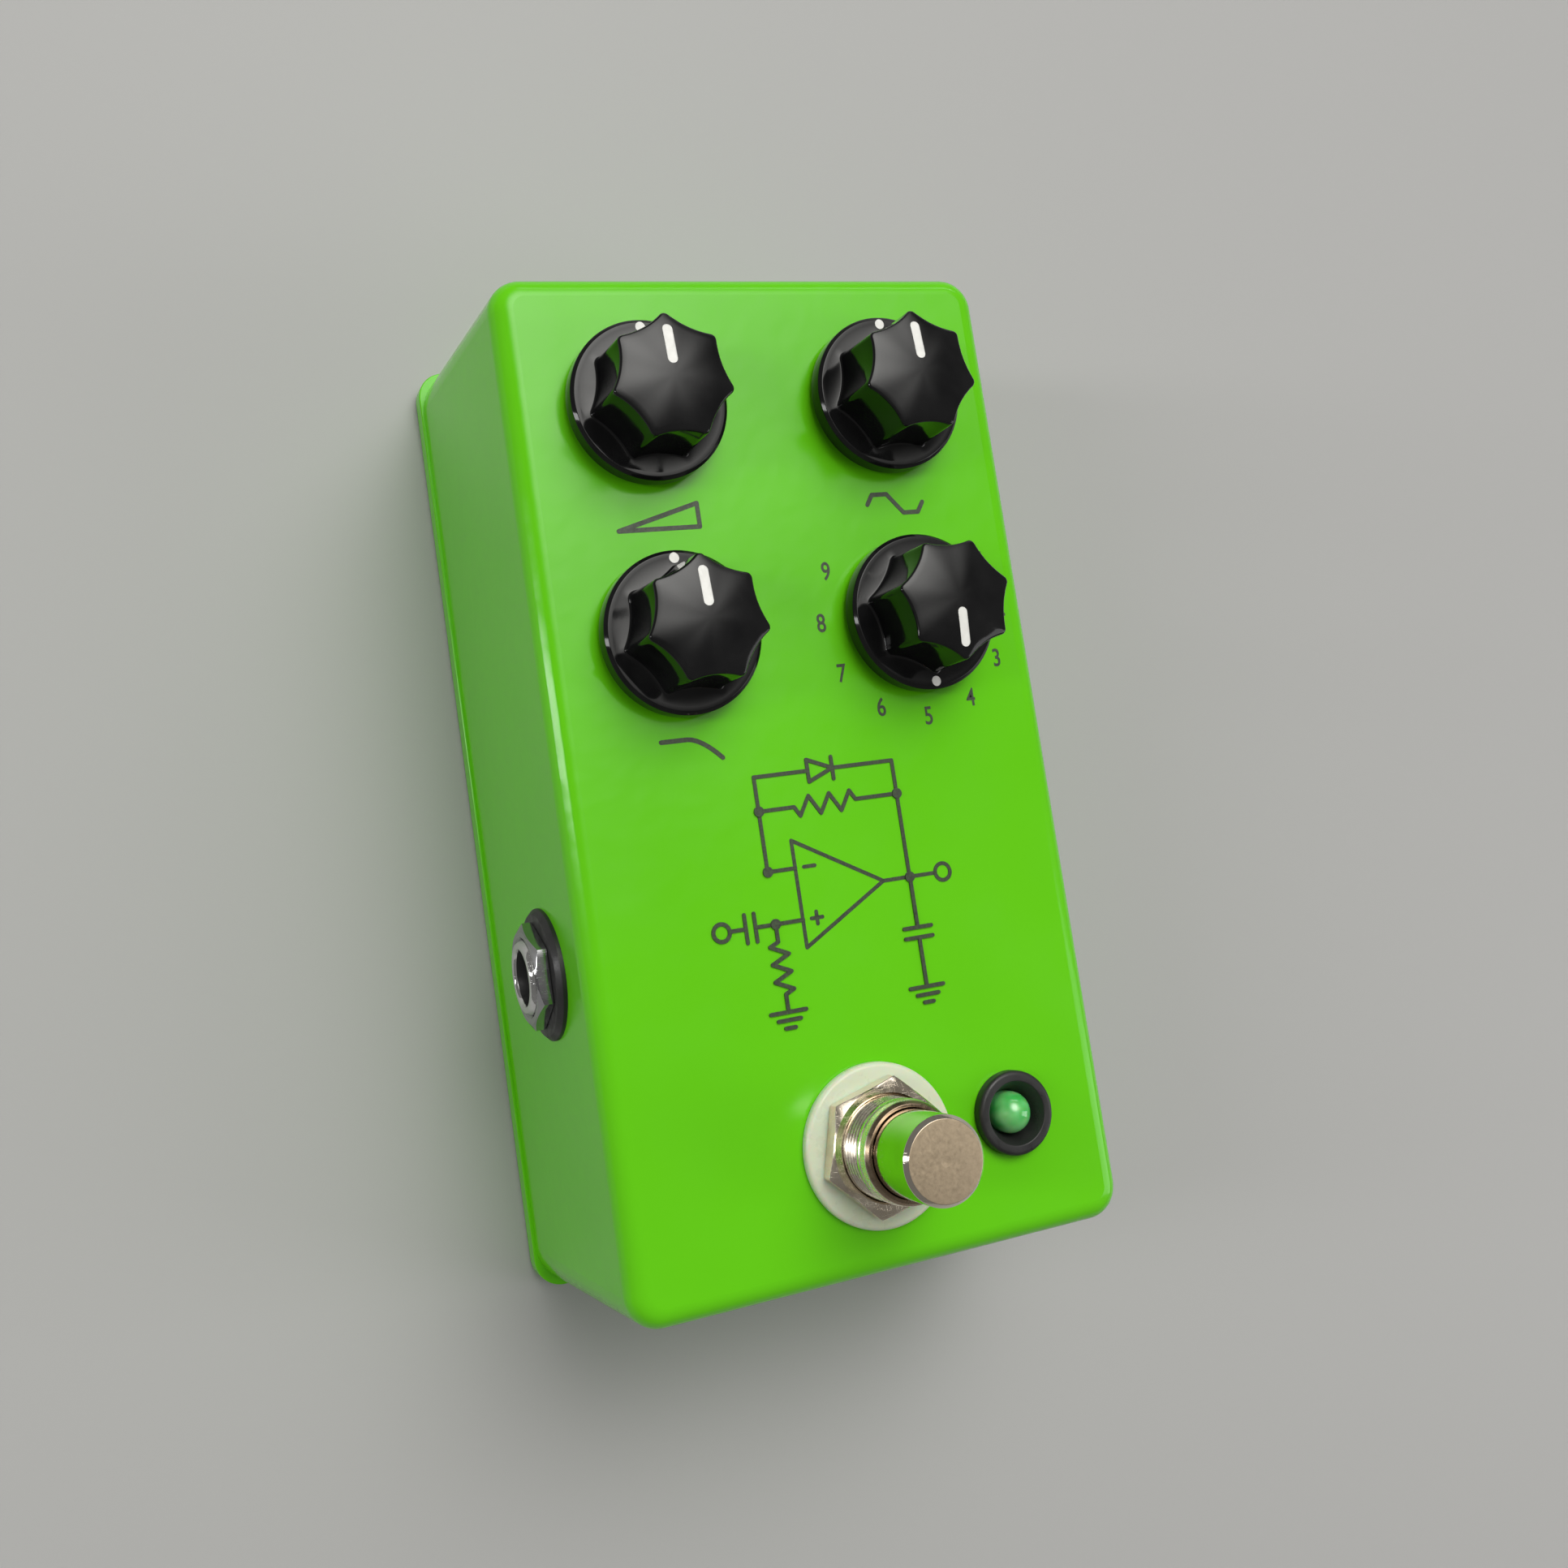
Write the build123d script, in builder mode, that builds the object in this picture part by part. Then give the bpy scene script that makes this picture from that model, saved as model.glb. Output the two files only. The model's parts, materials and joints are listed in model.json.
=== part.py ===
"""Guitar effects pedal: a die-cast box with four knobs, a foot switch, a lamp and three sockets.

Frame: X to the right, Y away from the player, Z up. The origin is the centre of the underside.
"""
from build123d import *
from math import cos, radians, sin
import os

os.makedirs("parts", exist_ok=True)

# Box: a drafted shell standing on a flat lid that closes it from below
box_length = 121.2
box_width = 66.0
box_height = 39.4
lid_height = 3.0
lid_step = 0.4
lid_lower_edge = 0.8
lid_upper_edge = 0.2
lid_pocket = 0.5
pocket_gap = 2.0
pocket_corner = 1.0
tongue_height = 2.0
tongue_width = 1.6
tongue_play = 0.25
wall = 2.2
face_thickness = 2.3
draft = 1.5
corner_radius = 4.9
face_fillet = 2.5
lid_corner_radius = 3.6
boss_inset = 5.6
boss_radius = 3.6
boss_play = 0.4

# Lid screws, M3 countersunk
screw_radius = 1.48
screw_head_radius = 2.8
screw_head_height = 1.6
screw_length = 12.0
screw_sink = 0.15
pilot_radius = 1.52
screw_hole_play = 0.2
screw_head_play = 0.35
cross_length = 2.8
cross_width = 0.6
cross_depth = 1.0

# Play all round: a bushing in its panel hole, a washer on a bushing, a nut on its thread,
# a turning shaft in its bore, a pin in its board
hole_play = 0.15
washer_play = 0.1
thread_play = 0.05
shaft_play = 0.08
pin_play = 0.15

# Controls on the face
knob_x = 15.5
knob_row_far = 43.2
knob_row_near = 16.1
switch_y = -44.7
lamp_x = 18.0
lamp_y = -44.4

# Knob: a round skirt under a seven-pointed grip with hollow flanks
knob_points = 7
skirt_gap = 0.8
skirt_radius = 9.5
skirt_height = 2.4
grip_base_radius = 7.75
grip_top_radius = 7.55
grip_height = 7.6
flank_depth = 1.35
grip_dome = 0.8
line_length = 4.6
line_width = 1.2
line_outer_end = 5.85
dot_radius = 0.62
dot_distance = 8.55
inlay_depth = 0.5
inlay_cut = 2.0
grip_edge = 0.7
skirt_edge = 0.35
knob_hollow_radius = 6.3
knob_hollow_height = 1.9
knob_step_radius = 4.2
knob_step_height = 3.4

# Potentiometers and the rotary mode switch
shaft_radius = 3.0
shaft_top = 9.6
shaft_slot_width = 1.0
shaft_slot_depth = 5.0
pot_width = 11.0
pot_corner = 1.0
mode_switch_radius = 8.8
pot_bushing_radius = 3.45
pot_bushing_height = 3.6
pot_washer_thickness = 0.5
pot_washer_radius = 5.6
pot_nut_size = 10.0
pot_nut_thickness = 1.6
rotor_radius = 4.2
rotor_floor = 1.2
rotor_thickness = 1.4
rotor_notch = 1.6
rotor_play = 0.2
rotor_room = 0.6
pin_width = 0.8
pin_thickness = 0.6
pin_stickout = 1.4
pot_pin_pitch = 2.5
pot_pin_y = -4.0
mode_pin_count = 10
mode_pin_inset = 2.2

# Foot switch, 12 mm threaded bushing
switch_body_width = 17.0
switch_body_height = 12.6
switch_body_corner = 1.0
switch_cavity_radius = 6.3
switch_flange = 0.6
switch_flange_radius = 7.6
inner_nut_thickness = 1.6
lock_washer_thickness = 0.8
lock_washer_radius = 8.2
lock_washer_teeth = 12
tooth_length = 1.2
tooth_width = 1.0
tooth_turn = 35.0
switch_bushing_radius = 5.85
switch_bushing_height = 8.7
switch_bore_radius = 4.95
bushing_chamfer_height = 0.9
bushing_chamfer_depth = 0.4
button_radius = 4.87
button_height = 16.1
button_travel = 3.0
button_chamfer = 0.45
collar_radius = 5.7
collar_thickness = 1.2
collar_play = 0.1
stem_radius = 3.2
stem_length = 3.5
stem_room = 2.3
spring_wire = 0.35
spring_radius = 4.4
spring_turns = 5
spring_seat = 0.05
nylon_radius = 9.43
nylon_thickness = 1.2
nylon_edge = 0.5
switch_nut_size = 14.0
switch_nut_thickness = 2.2
switch_nut_turn = 15.0
nut_cone_spread = 4.6
nut_cone_inset = 0.1
lug_pitch = 4.7
lug_width = 2.4
lug_thickness = 0.8
lead_stickout = 0.8

# Lamp: a 5 mm light-emitting diode in a black plastic holder
bezel_radius = 4.95
bezel_height = 1.5
bezel_edge = 0.5
bezel_depth = 5.6
bezel_barrel_radius = 3.95
lamp_radius = 2.5
lamp_height = 8.6
lamp_rise = 0.7
lamp_flange = 0.4
lamp_flange_height = 1.0
lamp_seat_height = 1.2
lamp_dome_flat = 0.02
cup_radius = 3.75
cup_depth = 2.4
lead_width = 0.5
lead_pitch = 2.54

# Quarter-inch sockets, one in each side wall
jack_y = -20.1
jack_z = 24.5
plug_bore_radius = 3.22
jack_body_width = 15.8
jack_body_height = 12.6
jack_body_edge = 1.0
jack_end_wall = 1.0
jack_inner_end = 2.5
jack_outer_end = 29.6
jack_rim = 35.1
jack_rim_edge = 0.4
jack_thread_radius = 4.45
jack_washer_radius = 7.8
jack_washer_bevel = 0.5
jack_washer_bevel_height = 0.6
jack_washer_depth = 1.5
jack_washer_front = 32.95
jack_nut_size = 11.0
jack_nut_front = 34.65
jack_lugs = (6.0, 24.0)
contact_thickness = 0.5
contact_width = 3.0
lug_slot_height = 4.0
lug_slot_z = 5.5
lug_height = 6.4
lug_z = 6.9
tip_contact_length = 8.0
tip_contact_x = 10.0
tip_contact_z = 3.95
tip_window = (9.6, 3.2, 2.2)
tip_window_x = 10.2
tip_window_z = 3.9

# Power socket in the far wall
power_z = 20.0
power_thread_radius = 5.85
power_bore_radius = 2.85
power_pin_radius = 1.0
power_body_width = 13.0
power_body_corner = 1.5
power_floor = 4.0
power_pin_recess = 1.2
power_tail = 3.5
power_tab_width = 2.4
power_tab_thickness = 0.6
power_tab_z = -4.5
power_nut_thickness = 3.0
power_body_rear = 44.0
power_body_front = 57.1
power_rim = 62.2
power_nut_size = 14.0
power_nut_front = 61.7

# Circuit boards
board_thickness = 1.6
board_top = 29.9
board_width = 58.0
board_near = -9.5
board_far = 50.0
board_corner = 1.5
switch_board_top = 18.0
switch_board_length = 22.5
switch_board_width = 41.0
switch_board_x = 2.5
switch_board_corner = 1.0

# Components under the main board: width, length and height in their rows
chip_size = (9.8, 6.4, 3.4)
chip_spacing = 24.0
chip_y = 29.5
film_cap_size = (2.6, 7.2, 6.5)
film_cap_spacing = 5.6
film_cap_count = 9
film_cap_y = 1.0
package_edge = 0.4
can_radius = 2.6
can_height = 7.0
can_spacing = 7.0
can_y = 20.5
resistor_radius = 1.1
resistor_length = 6.2
resistor_spacing = 9.0
resistor_count = 6
resistor_y = -6.2
resistor_drop = 1.2
diode_radius = 0.9
diode_length = 3.6
diode_spacing = 4.0
diode_count = 5
diode_y = 9.0
diode_drop = 1.0

# Hook-up wires: five in a ribbon from the foot switch, two from each socket
wire_radius = 0.6
wire_bend = 1.8
ribbon_xs = (-4.8, -2.4, 0.0, 2.4, 4.8)
ribbon_low = 11.0
ribbon_start_gap = 8.6
ribbon_end_gap = 0.8
jack_wire_rise = 9.0
jack_wire_start = 1.5
jack_wire_end_gap = 2.5
power_wire_gap = 6.0
power_wire_spacing = 2.6

# Worked-out levels and sizes
shell_width = box_width - 2 * lid_step
shell_length = box_length - 2 * lid_step
shell_height = box_height - lid_height
ceiling = box_height - face_thickness
boss_x = shell_width / 2 - boss_inset
boss_y = shell_length / 2 - boss_inset
board_bottom = board_top - board_thickness
pot_height = ceiling - board_top
switch_gap = switch_flange + inner_nut_thickness + lock_washer_thickness
switch_body_top = ceiling - switch_gap
switch_body_bottom = switch_body_top - switch_body_height
skirt_bottom = box_height + skirt_gap
skirt_top = skirt_bottom + skirt_height
grip_top = skirt_top + grip_height
rotor_bottom = board_top + rotor_floor
rotor_top = rotor_bottom + rotor_thickness
collar_top = switch_body_top - collar_play
collar_bottom = collar_top - collar_thickness
switch_floor = collar_bottom - button_travel - stem_length - stem_room
tongue_outer_width = shell_width - 2 * (wall + tongue_play)
tongue_outer_length = shell_length - 2 * (wall + tongue_play)
bezel_bottom = ceiling - bezel_depth
lamp_top = box_height + bezel_height + lamp_rise
lamp_bottom = lamp_top - lamp_height
board_length = board_far - board_near

controls = {
    "volume": (-knob_x, knob_row_far, 0),
    "drive": (knob_x, knob_row_far, 0),
    "tone": (-knob_x, knob_row_near, 0),
    "mode": (knob_x, knob_row_near, 180),
}
sockets = {"output": -1, "input": 1}
knob_places = [(x, y) for x, y, turn in controls.values()]


def save(piece, name):
    """Label a finished piece and write it as one STEP file."""
    piece.part.label = name
    export_step(piece.part, f"parts/{name}.step")


def level(z):
    """The horizontal plane at height z."""
    return Plane.XY.offset(z)


def switch_level(z):
    """The horizontal plane at height z, centred on the foot switch."""
    return Plane(origin=(0, switch_y, z))


def lamp_level(z):
    """The horizontal plane at height z, centred on the lamp."""
    return Plane(origin=(lamp_x, lamp_y, z))


def control_plane(x, y, turn, z):
    """A horizontal plane over a control, turned so that its +Y is where the knob points."""
    x_dir = (cos(radians(turn)), sin(radians(turn)), 0)
    return Plane(origin=(x, y, z), x_dir=x_dir, z_dir=(0, 0, 1))


def side_plane(side, distance):
    """A plane facing out of the side wall, with its +Y up, at a distance from the middle."""
    return Plane(origin=(side * distance, jack_y, jack_z), x_dir=(0, side, 0), z_dir=(side, 0, 0))


def rear_plane(distance):
    """A plane facing out of the far wall at the power socket, with its +Y up."""
    return Plane(origin=(0, distance, power_z), x_dir=(-1, 0, 0), z_dir=(0, 1, 0))


def grip_outline(tip_radius):
    """The seven-pointed outline of the grip, with hollow flanks and one point at +Y."""
    half_step = 180 / knob_points
    valley_radius = tip_radius - flank_depth
    with BuildSketch() as outline:
        with BuildLine():
            for point in range(knob_points):
                start = 90 + point * 2 * half_step
                ThreePointArc(
                    Vector(tip_radius, 0).rotate(Axis.Z, start),
                    Vector(valley_radius, 0).rotate(Axis.Z, start + half_step),
                    Vector(tip_radius, 0).rotate(Axis.Z, start + 2 * half_step),
                )
        make_face()
        fillet(outline.vertices(), grip_edge)
    return outline.sketch


def pointer_line():
    """The pointer line on top of the grip, running out towards +Y."""
    with BuildSketch() as outline:
        with Locations((0, line_outer_end - line_length / 2)):
            SlotOverall(line_length, line_width, rotation=90)
    return outline.sketch


def skirt_dot():
    """The dot on the skirt beyond the pointer line."""
    with BuildSketch() as outline:
        with Locations((0, dot_distance)):
            Circle(dot_radius)
    return outline.sketch


def control_pins(name, play):
    """The soldered pins of a control, widened all round by some play."""
    with BuildSketch() as outline:
        if name == "mode":
            with PolarLocations(mode_switch_radius - mode_pin_inset, mode_pin_count):
                Rectangle(pin_width + 2 * play, pin_width + 2 * play)
        else:
            with Locations((0, pot_pin_y)):
                with GridLocations(pot_pin_pitch, 0, 3, 1):
                    Rectangle(pin_width + 2 * play, pin_thickness + 2 * play)
    return outline.sketch


# The outside of the shell as one solid block; washers and nuts on its sloping walls are cut to it
with BuildPart() as shell_block:
    with BuildSketch(level(lid_height)):
        RectangleRounded(shell_width, shell_length, corner_radius)
    extrude(amount=shell_height, taper=draft)
    fillet(shell_block.faces().sort_by(Axis.Z)[-1].edges(), face_fillet)

with BuildPart() as enclosure:
    add(shell_block)
    with BuildSketch(level(lid_height)):
        RectangleRounded(shell_width - 2 * wall, shell_length - 2 * wall, corner_radius - wall)
    extrude(amount=shell_height - face_thickness, taper=draft, mode=Mode.SUBTRACT)
    with BuildSketch(level(lid_height)):
        with GridLocations(2 * boss_x, 2 * boss_y, 2, 2):
            Circle(boss_radius)
    extrude(amount=shell_height - face_thickness)
    with BuildSketch(level(lid_height)):
        with GridLocations(2 * boss_x, 2 * boss_y, 2, 2):
            Circle(pilot_radius)
    extrude(amount=screw_length, mode=Mode.SUBTRACT)
    with BuildSketch(level(ceiling)):
        with Locations(*knob_places):
            Circle(pot_bushing_radius + hole_play)
        with Locations((0, switch_y)):
            Circle(switch_bushing_radius + hole_play)
        with Locations((lamp_x, lamp_y)):
            Circle(bezel_barrel_radius + washer_play)
    extrude(amount=face_thickness, mode=Mode.SUBTRACT)
    with BuildSketch(side_plane(1, 0)):
        Circle(jack_thread_radius + hole_play)
    extrude(amount=box_width, both=True, mode=Mode.SUBTRACT)
    with BuildSketch(rear_plane(power_body_rear)):
        Circle(power_thread_radius + hole_play)
    extrude(amount=box_length, mode=Mode.SUBTRACT)
save(enclosure, "enclosure")

# Lid: a flat plate, hollowed a little, with a tongue that centres it in the shell
with BuildPart() as base_plate:
    with BuildSketch():
        RectangleRounded(box_width, box_length, lid_corner_radius)
    extrude(amount=lid_height)
    fillet(base_plate.faces().sort_by(Axis.Z)[0].edges(), lid_lower_edge)
    fillet(base_plate.faces().sort_by(Axis.Z)[-1].edges(), lid_upper_edge)
    with BuildSketch(level(lid_height)):
        RectangleRounded(tongue_outer_width, tongue_outer_length, corner_radius - wall)
        RectangleRounded(
            tongue_outer_width - 2 * tongue_width,
            tongue_outer_length - 2 * tongue_width,
            corner_radius - wall - tongue_width,
            mode=Mode.SUBTRACT,
        )
        with GridLocations(2 * boss_x, 2 * boss_y, 2, 2):
            Circle(boss_radius + boss_play, mode=Mode.SUBTRACT)
    extrude(amount=tongue_height)
    with BuildSketch(level(lid_height)):
        RectangleRounded(
            tongue_outer_width - 2 * tongue_width,
            2 * (boss_y - boss_radius - pocket_gap),
            pocket_corner,
        )
    extrude(amount=-lid_pocket, mode=Mode.SUBTRACT)
    with BuildSketch():
        with GridLocations(2 * boss_x, 2 * boss_y, 2, 2):
            Circle(screw_radius + screw_hole_play)
    extrude(amount=lid_height, mode=Mode.SUBTRACT)
    with GridLocations(2 * boss_x, 2 * boss_y, 2, 2):
        Cone(
            screw_head_radius + screw_head_play,
            screw_radius + screw_hole_play,
            screw_head_height + screw_sink + screw_hole_play,
            align=(Align.CENTER, Align.CENTER, Align.MIN),
            mode=Mode.SUBTRACT,
        )
save(base_plate, "base_plate")

with BuildPart() as base_screws:
    with BuildSketch(level(screw_sink + screw_head_height)):
        with GridLocations(2 * boss_x, 2 * boss_y, 2, 2):
            Circle(screw_radius)
    extrude(amount=screw_length - screw_head_height)
    with Locations((0, 0, screw_sink)):
        with GridLocations(2 * boss_x, 2 * boss_y, 2, 2):
            Cone(
                screw_head_radius,
                screw_radius,
                screw_head_height,
                align=(Align.CENTER, Align.CENTER, Align.MIN),
            )
    with BuildSketch(level(screw_sink)):
        with GridLocations(2 * boss_x, 2 * boss_y, 2, 2):
            Rectangle(cross_length, cross_width)
            Rectangle(cross_width, cross_length)
    extrude(amount=cross_depth, mode=Mode.SUBTRACT)
save(base_screws, "base_screws")

# Knobs, with the white pointer line and skirt dot inlaid in them
dome_radius = (grip_base_radius**2 + grip_dome**2) / (2 * grip_dome)
dome_top = grip_top + grip_dome
for name, (x, y, turn) in controls.items():
    with BuildPart() as knob:
        with BuildSketch(control_plane(x, y, turn, skirt_top)):
            add(grip_outline(grip_base_radius))
        with BuildSketch(control_plane(x, y, turn, dome_top)):
            add(grip_outline(grip_top_radius))
        loft(ruled=True)
        with Locations((x, y, dome_top - dome_radius)):
            Sphere(dome_radius, mode=Mode.INTERSECT)
        with BuildSketch(control_plane(x, y, turn, skirt_bottom)):
            Circle(skirt_radius)
        extrude(amount=skirt_height)
        skirt_rims = knob.edges().filter_by(GeomType.CIRCLE)
        fillet(skirt_rims.filter_by(lambda rim: abs(rim.radius - skirt_radius) < 0.01), skirt_edge)
        with BuildSketch(control_plane(x, y, turn, skirt_bottom)):
            Circle(knob_hollow_radius)
        extrude(amount=knob_hollow_height, mode=Mode.SUBTRACT)
        with BuildSketch(control_plane(x, y, turn, skirt_bottom)):
            Circle(knob_step_radius)
        extrude(amount=knob_step_height, mode=Mode.SUBTRACT)
        with BuildSketch(control_plane(x, y, turn, skirt_bottom)):
            Circle(shaft_radius)
        extrude(amount=box_height + shaft_top - skirt_bottom, mode=Mode.SUBTRACT)
        with BuildSketch(control_plane(x, y, turn, grip_top - inlay_depth)):
            add(pointer_line())
        extrude(amount=inlay_cut, mode=Mode.SUBTRACT)
        with BuildSketch(control_plane(x, y, turn, skirt_top - inlay_depth)):
            add(skirt_dot())
        extrude(amount=inlay_cut, mode=Mode.SUBTRACT)
    save(knob, f"{name}_knob")

    with BuildPart() as pointer:
        with BuildSketch(control_plane(x, y, turn, grip_top - inlay_depth)):
            add(pointer_line())
        extrude(amount=inlay_depth)
        with BuildSketch(control_plane(x, y, turn, skirt_top - inlay_depth)):
            add(skirt_dot())
        extrude(amount=inlay_depth)
    save(pointer, f"{name}_pointer")

    with BuildPart() as shaft:
        with BuildSketch(control_plane(x, y, turn, rotor_top)):
            Circle(shaft_radius)
        extrude(amount=box_height + shaft_top - rotor_top)
        with BuildSketch(control_plane(x, y, turn, box_height + shaft_top - shaft_slot_depth)):
            Rectangle(shaft_slot_width, 2 * shaft_radius)
        extrude(amount=shaft_slot_depth, mode=Mode.SUBTRACT)
    save(shaft, f"{name}_shaft")

    with BuildPart() as rotor:
        with BuildSketch(control_plane(x, y, turn, rotor_bottom)):
            Circle(rotor_radius)
            with Locations((0, rotor_radius)):
                Rectangle(rotor_notch, rotor_notch, mode=Mode.SUBTRACT)
        extrude(amount=rotor_thickness)
    save(rotor, f"{name}_rotor")

# Potentiometer housings and the twelve-sided housing of the mode switch, with their solder pins
for name, (x, y, turn) in controls.items():
    is_mode = name == "mode"
    with BuildPart() as housing:
        with BuildSketch(control_plane(x, y, turn, board_top)):
            if is_mode:
                RegularPolygon(mode_switch_radius, 12)
            else:
                RectangleRounded(pot_width, pot_width, pot_corner)
        extrude(amount=pot_height)
        with BuildSketch(control_plane(x, y, turn, rotor_bottom - rotor_play)):
            Circle(rotor_radius + rotor_play)
        extrude(amount=rotor_thickness + rotor_room, mode=Mode.SUBTRACT)
        with BuildSketch(control_plane(x, y, turn, rotor_top)):
            Circle(shaft_radius + shaft_play)
        extrude(amount=ceiling - rotor_top, mode=Mode.SUBTRACT)
        with BuildSketch(control_plane(x, y, turn, board_bottom - pin_stickout)):
            add(control_pins(name, 0))
        extrude(amount=board_thickness + pin_stickout)
    save(housing, "mode_switch" if is_mode else f"{name}_pot")

with BuildPart() as pot_bushings:
    with BuildSketch(level(ceiling)):
        with Locations(*knob_places):
            Circle(pot_bushing_radius)
            Circle(shaft_radius + shaft_play, mode=Mode.SUBTRACT)
    extrude(amount=face_thickness + pot_bushing_height)
save(pot_bushings, "pot_bushings")

with BuildPart() as pot_washers:
    with BuildSketch(level(box_height)):
        with Locations(*knob_places):
            Circle(pot_washer_radius)
            Circle(pot_bushing_radius + washer_play, mode=Mode.SUBTRACT)
    extrude(amount=pot_washer_thickness)
save(pot_washers, "pot_washers")

with BuildPart() as pot_nuts:
    with BuildSketch(level(box_height + pot_washer_thickness)):
        with Locations(*knob_places):
            RegularPolygon(pot_nut_size / 2, 6, major_radius=False)
            Circle(pot_bushing_radius + thread_play, mode=Mode.SUBTRACT)
    extrude(amount=pot_nut_thickness)
save(pot_nuts, "pot_nuts")

# Foot switch: the housing hangs under the face on a threaded bushing, clamped by two nuts
with BuildPart() as footswitch_housing:
    with BuildSketch(switch_level(switch_body_bottom)):
        RectangleRounded(switch_body_width, switch_body_width, switch_body_corner)
    extrude(amount=switch_body_height)
    with BuildSketch(switch_level(switch_floor)):
        Circle(switch_cavity_radius)
    extrude(amount=switch_body_height, mode=Mode.SUBTRACT)
save(footswitch_housing, "footswitch_housing")

with BuildPart() as footswitch_bushing:
    with BuildSketch(switch_level(switch_body_top)):
        Circle(switch_flange_radius)
    extrude(amount=switch_flange)
    with BuildSketch(switch_level(switch_body_top)):
        Circle(switch_bushing_radius)
    extrude(amount=switch_gap + face_thickness + switch_bushing_height)
    rim = footswitch_bushing.edges().sort_by(Axis.Z)[-1]
    chamfer(rim, bushing_chamfer_height, bushing_chamfer_depth)
    with BuildSketch(switch_level(switch_body_top)):
        Circle(switch_bore_radius)
    extrude(amount=switch_gap + face_thickness + switch_bushing_height, mode=Mode.SUBTRACT)
save(footswitch_bushing, "footswitch_bushing")

with BuildPart() as footswitch_inner_nut:
    with BuildSketch(switch_level(switch_body_top + switch_flange)):
        RegularPolygon(switch_nut_size / 2, 6, major_radius=False)
        Circle(switch_bushing_radius + thread_play, mode=Mode.SUBTRACT)
    extrude(amount=inner_nut_thickness)
save(footswitch_inner_nut, "footswitch_inner_nut")

with BuildPart() as footswitch_lock_washer:
    with BuildSketch(switch_level(ceiling - lock_washer_thickness)):
        Circle(lock_washer_radius)
        Circle(switch_bushing_radius + washer_play, mode=Mode.SUBTRACT)
        with PolarLocations(lock_washer_radius, lock_washer_teeth):
            Rectangle(tooth_length, tooth_width, rotation=tooth_turn, mode=Mode.SUBTRACT)
    extrude(amount=lock_washer_thickness)
save(footswitch_lock_washer, "footswitch_lock_washer")

with BuildPart() as footswitch_washer:
    with BuildSketch(switch_level(box_height)):
        Circle(nylon_radius)
    extrude(amount=nylon_thickness)
    fillet(footswitch_washer.edges().sort_by(Axis.Z)[-1], nylon_edge)
    with BuildSketch(switch_level(box_height)):
        Circle(switch_bushing_radius + washer_play)
    extrude(amount=nylon_thickness, mode=Mode.SUBTRACT)
save(footswitch_washer, "footswitch_washer")

with BuildPart() as footswitch_nut:
    nut_bottom = box_height + nylon_thickness
    with BuildSketch(switch_level(nut_bottom)):
        RegularPolygon(switch_nut_size / 2, 6, major_radius=False, rotation=switch_nut_turn)
    extrude(amount=switch_nut_thickness)
    with Locations((0, switch_y, nut_bottom)):
        Cone(
            switch_nut_size / 2 + nut_cone_spread,
            switch_nut_size / 2 - nut_cone_inset,
            switch_nut_thickness,
            align=(Align.CENTER, Align.CENTER, Align.MIN),
            mode=Mode.INTERSECT,
        )
    with BuildSketch(switch_level(nut_bottom)):
        Circle(switch_bushing_radius + thread_play)
    extrude(amount=switch_nut_thickness, mode=Mode.SUBTRACT)
save(footswitch_nut, "footswitch_nut")

# The plunger has a collar that stops under the bushing and a stem inside its spring
with BuildPart() as footswitch_button:
    with BuildSketch(switch_level(collar_bottom)):
        Circle(button_radius)
    extrude(amount=box_height + button_height - collar_bottom)
    chamfer(footswitch_button.edges().sort_by(Axis.Z)[-1], button_chamfer)
    with BuildSketch(switch_level(collar_bottom)):
        Circle(collar_radius)
    extrude(amount=collar_thickness)
    with BuildSketch(switch_level(collar_bottom)):
        Circle(stem_radius)
    extrude(amount=-stem_length)
save(footswitch_button, "footswitch_button")

coil_height = collar_bottom - switch_floor - 2 * (spring_wire + spring_seat)
with BuildPart() as footswitch_spring:
    with BuildLine(switch_level(switch_floor + spring_wire + spring_seat)) as coil:
        Helix(coil_height / spring_turns, coil_height, spring_radius)
    with BuildSketch(Plane(origin=coil.line @ 0, z_dir=coil.line % 0)):
        Circle(spring_wire)
    sweep(path=coil.line, is_frenet=True)
save(footswitch_spring, "footswitch_spring")

with BuildPart() as footswitch_lugs:
    with BuildSketch(switch_level(switch_body_bottom)):
        with GridLocations(lug_pitch, lug_pitch, 3, 3):
            Rectangle(lug_width, lug_thickness)
    extrude(amount=-(switch_body_bottom - switch_board_top + board_thickness + lead_stickout))
save(footswitch_lugs, "footswitch_lugs")

# Lamp holder with a conical cup, and the diode standing in it
with BuildPart() as led_bezel:
    with BuildSketch(lamp_level(box_height)):
        Circle(bezel_radius)
    extrude(amount=bezel_height)
    fillet(led_bezel.edges().sort_by(Axis.Z)[-1], bezel_edge)
    with BuildSketch(lamp_level(bezel_bottom)):
        Circle(bezel_barrel_radius)
    extrude(amount=box_height - bezel_bottom)
    with BuildSketch(lamp_level(bezel_bottom)):
        Circle(lamp_radius + washer_play)
    extrude(amount=box_height + bezel_height - bezel_bottom, mode=Mode.SUBTRACT)
    with BuildSketch(lamp_level(bezel_bottom)):
        Circle(lamp_radius + lamp_flange + washer_play)
    extrude(amount=lamp_bottom + lamp_seat_height - bezel_bottom, mode=Mode.SUBTRACT)
    with Locations((lamp_x, lamp_y, box_height + bezel_height)):
        Cone(
            lamp_radius + washer_play,
            cup_radius,
            cup_depth,
            align=(Align.CENTER, Align.CENTER, Align.MAX),
            mode=Mode.SUBTRACT,
        )
save(led_bezel, "led_bezel")

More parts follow.
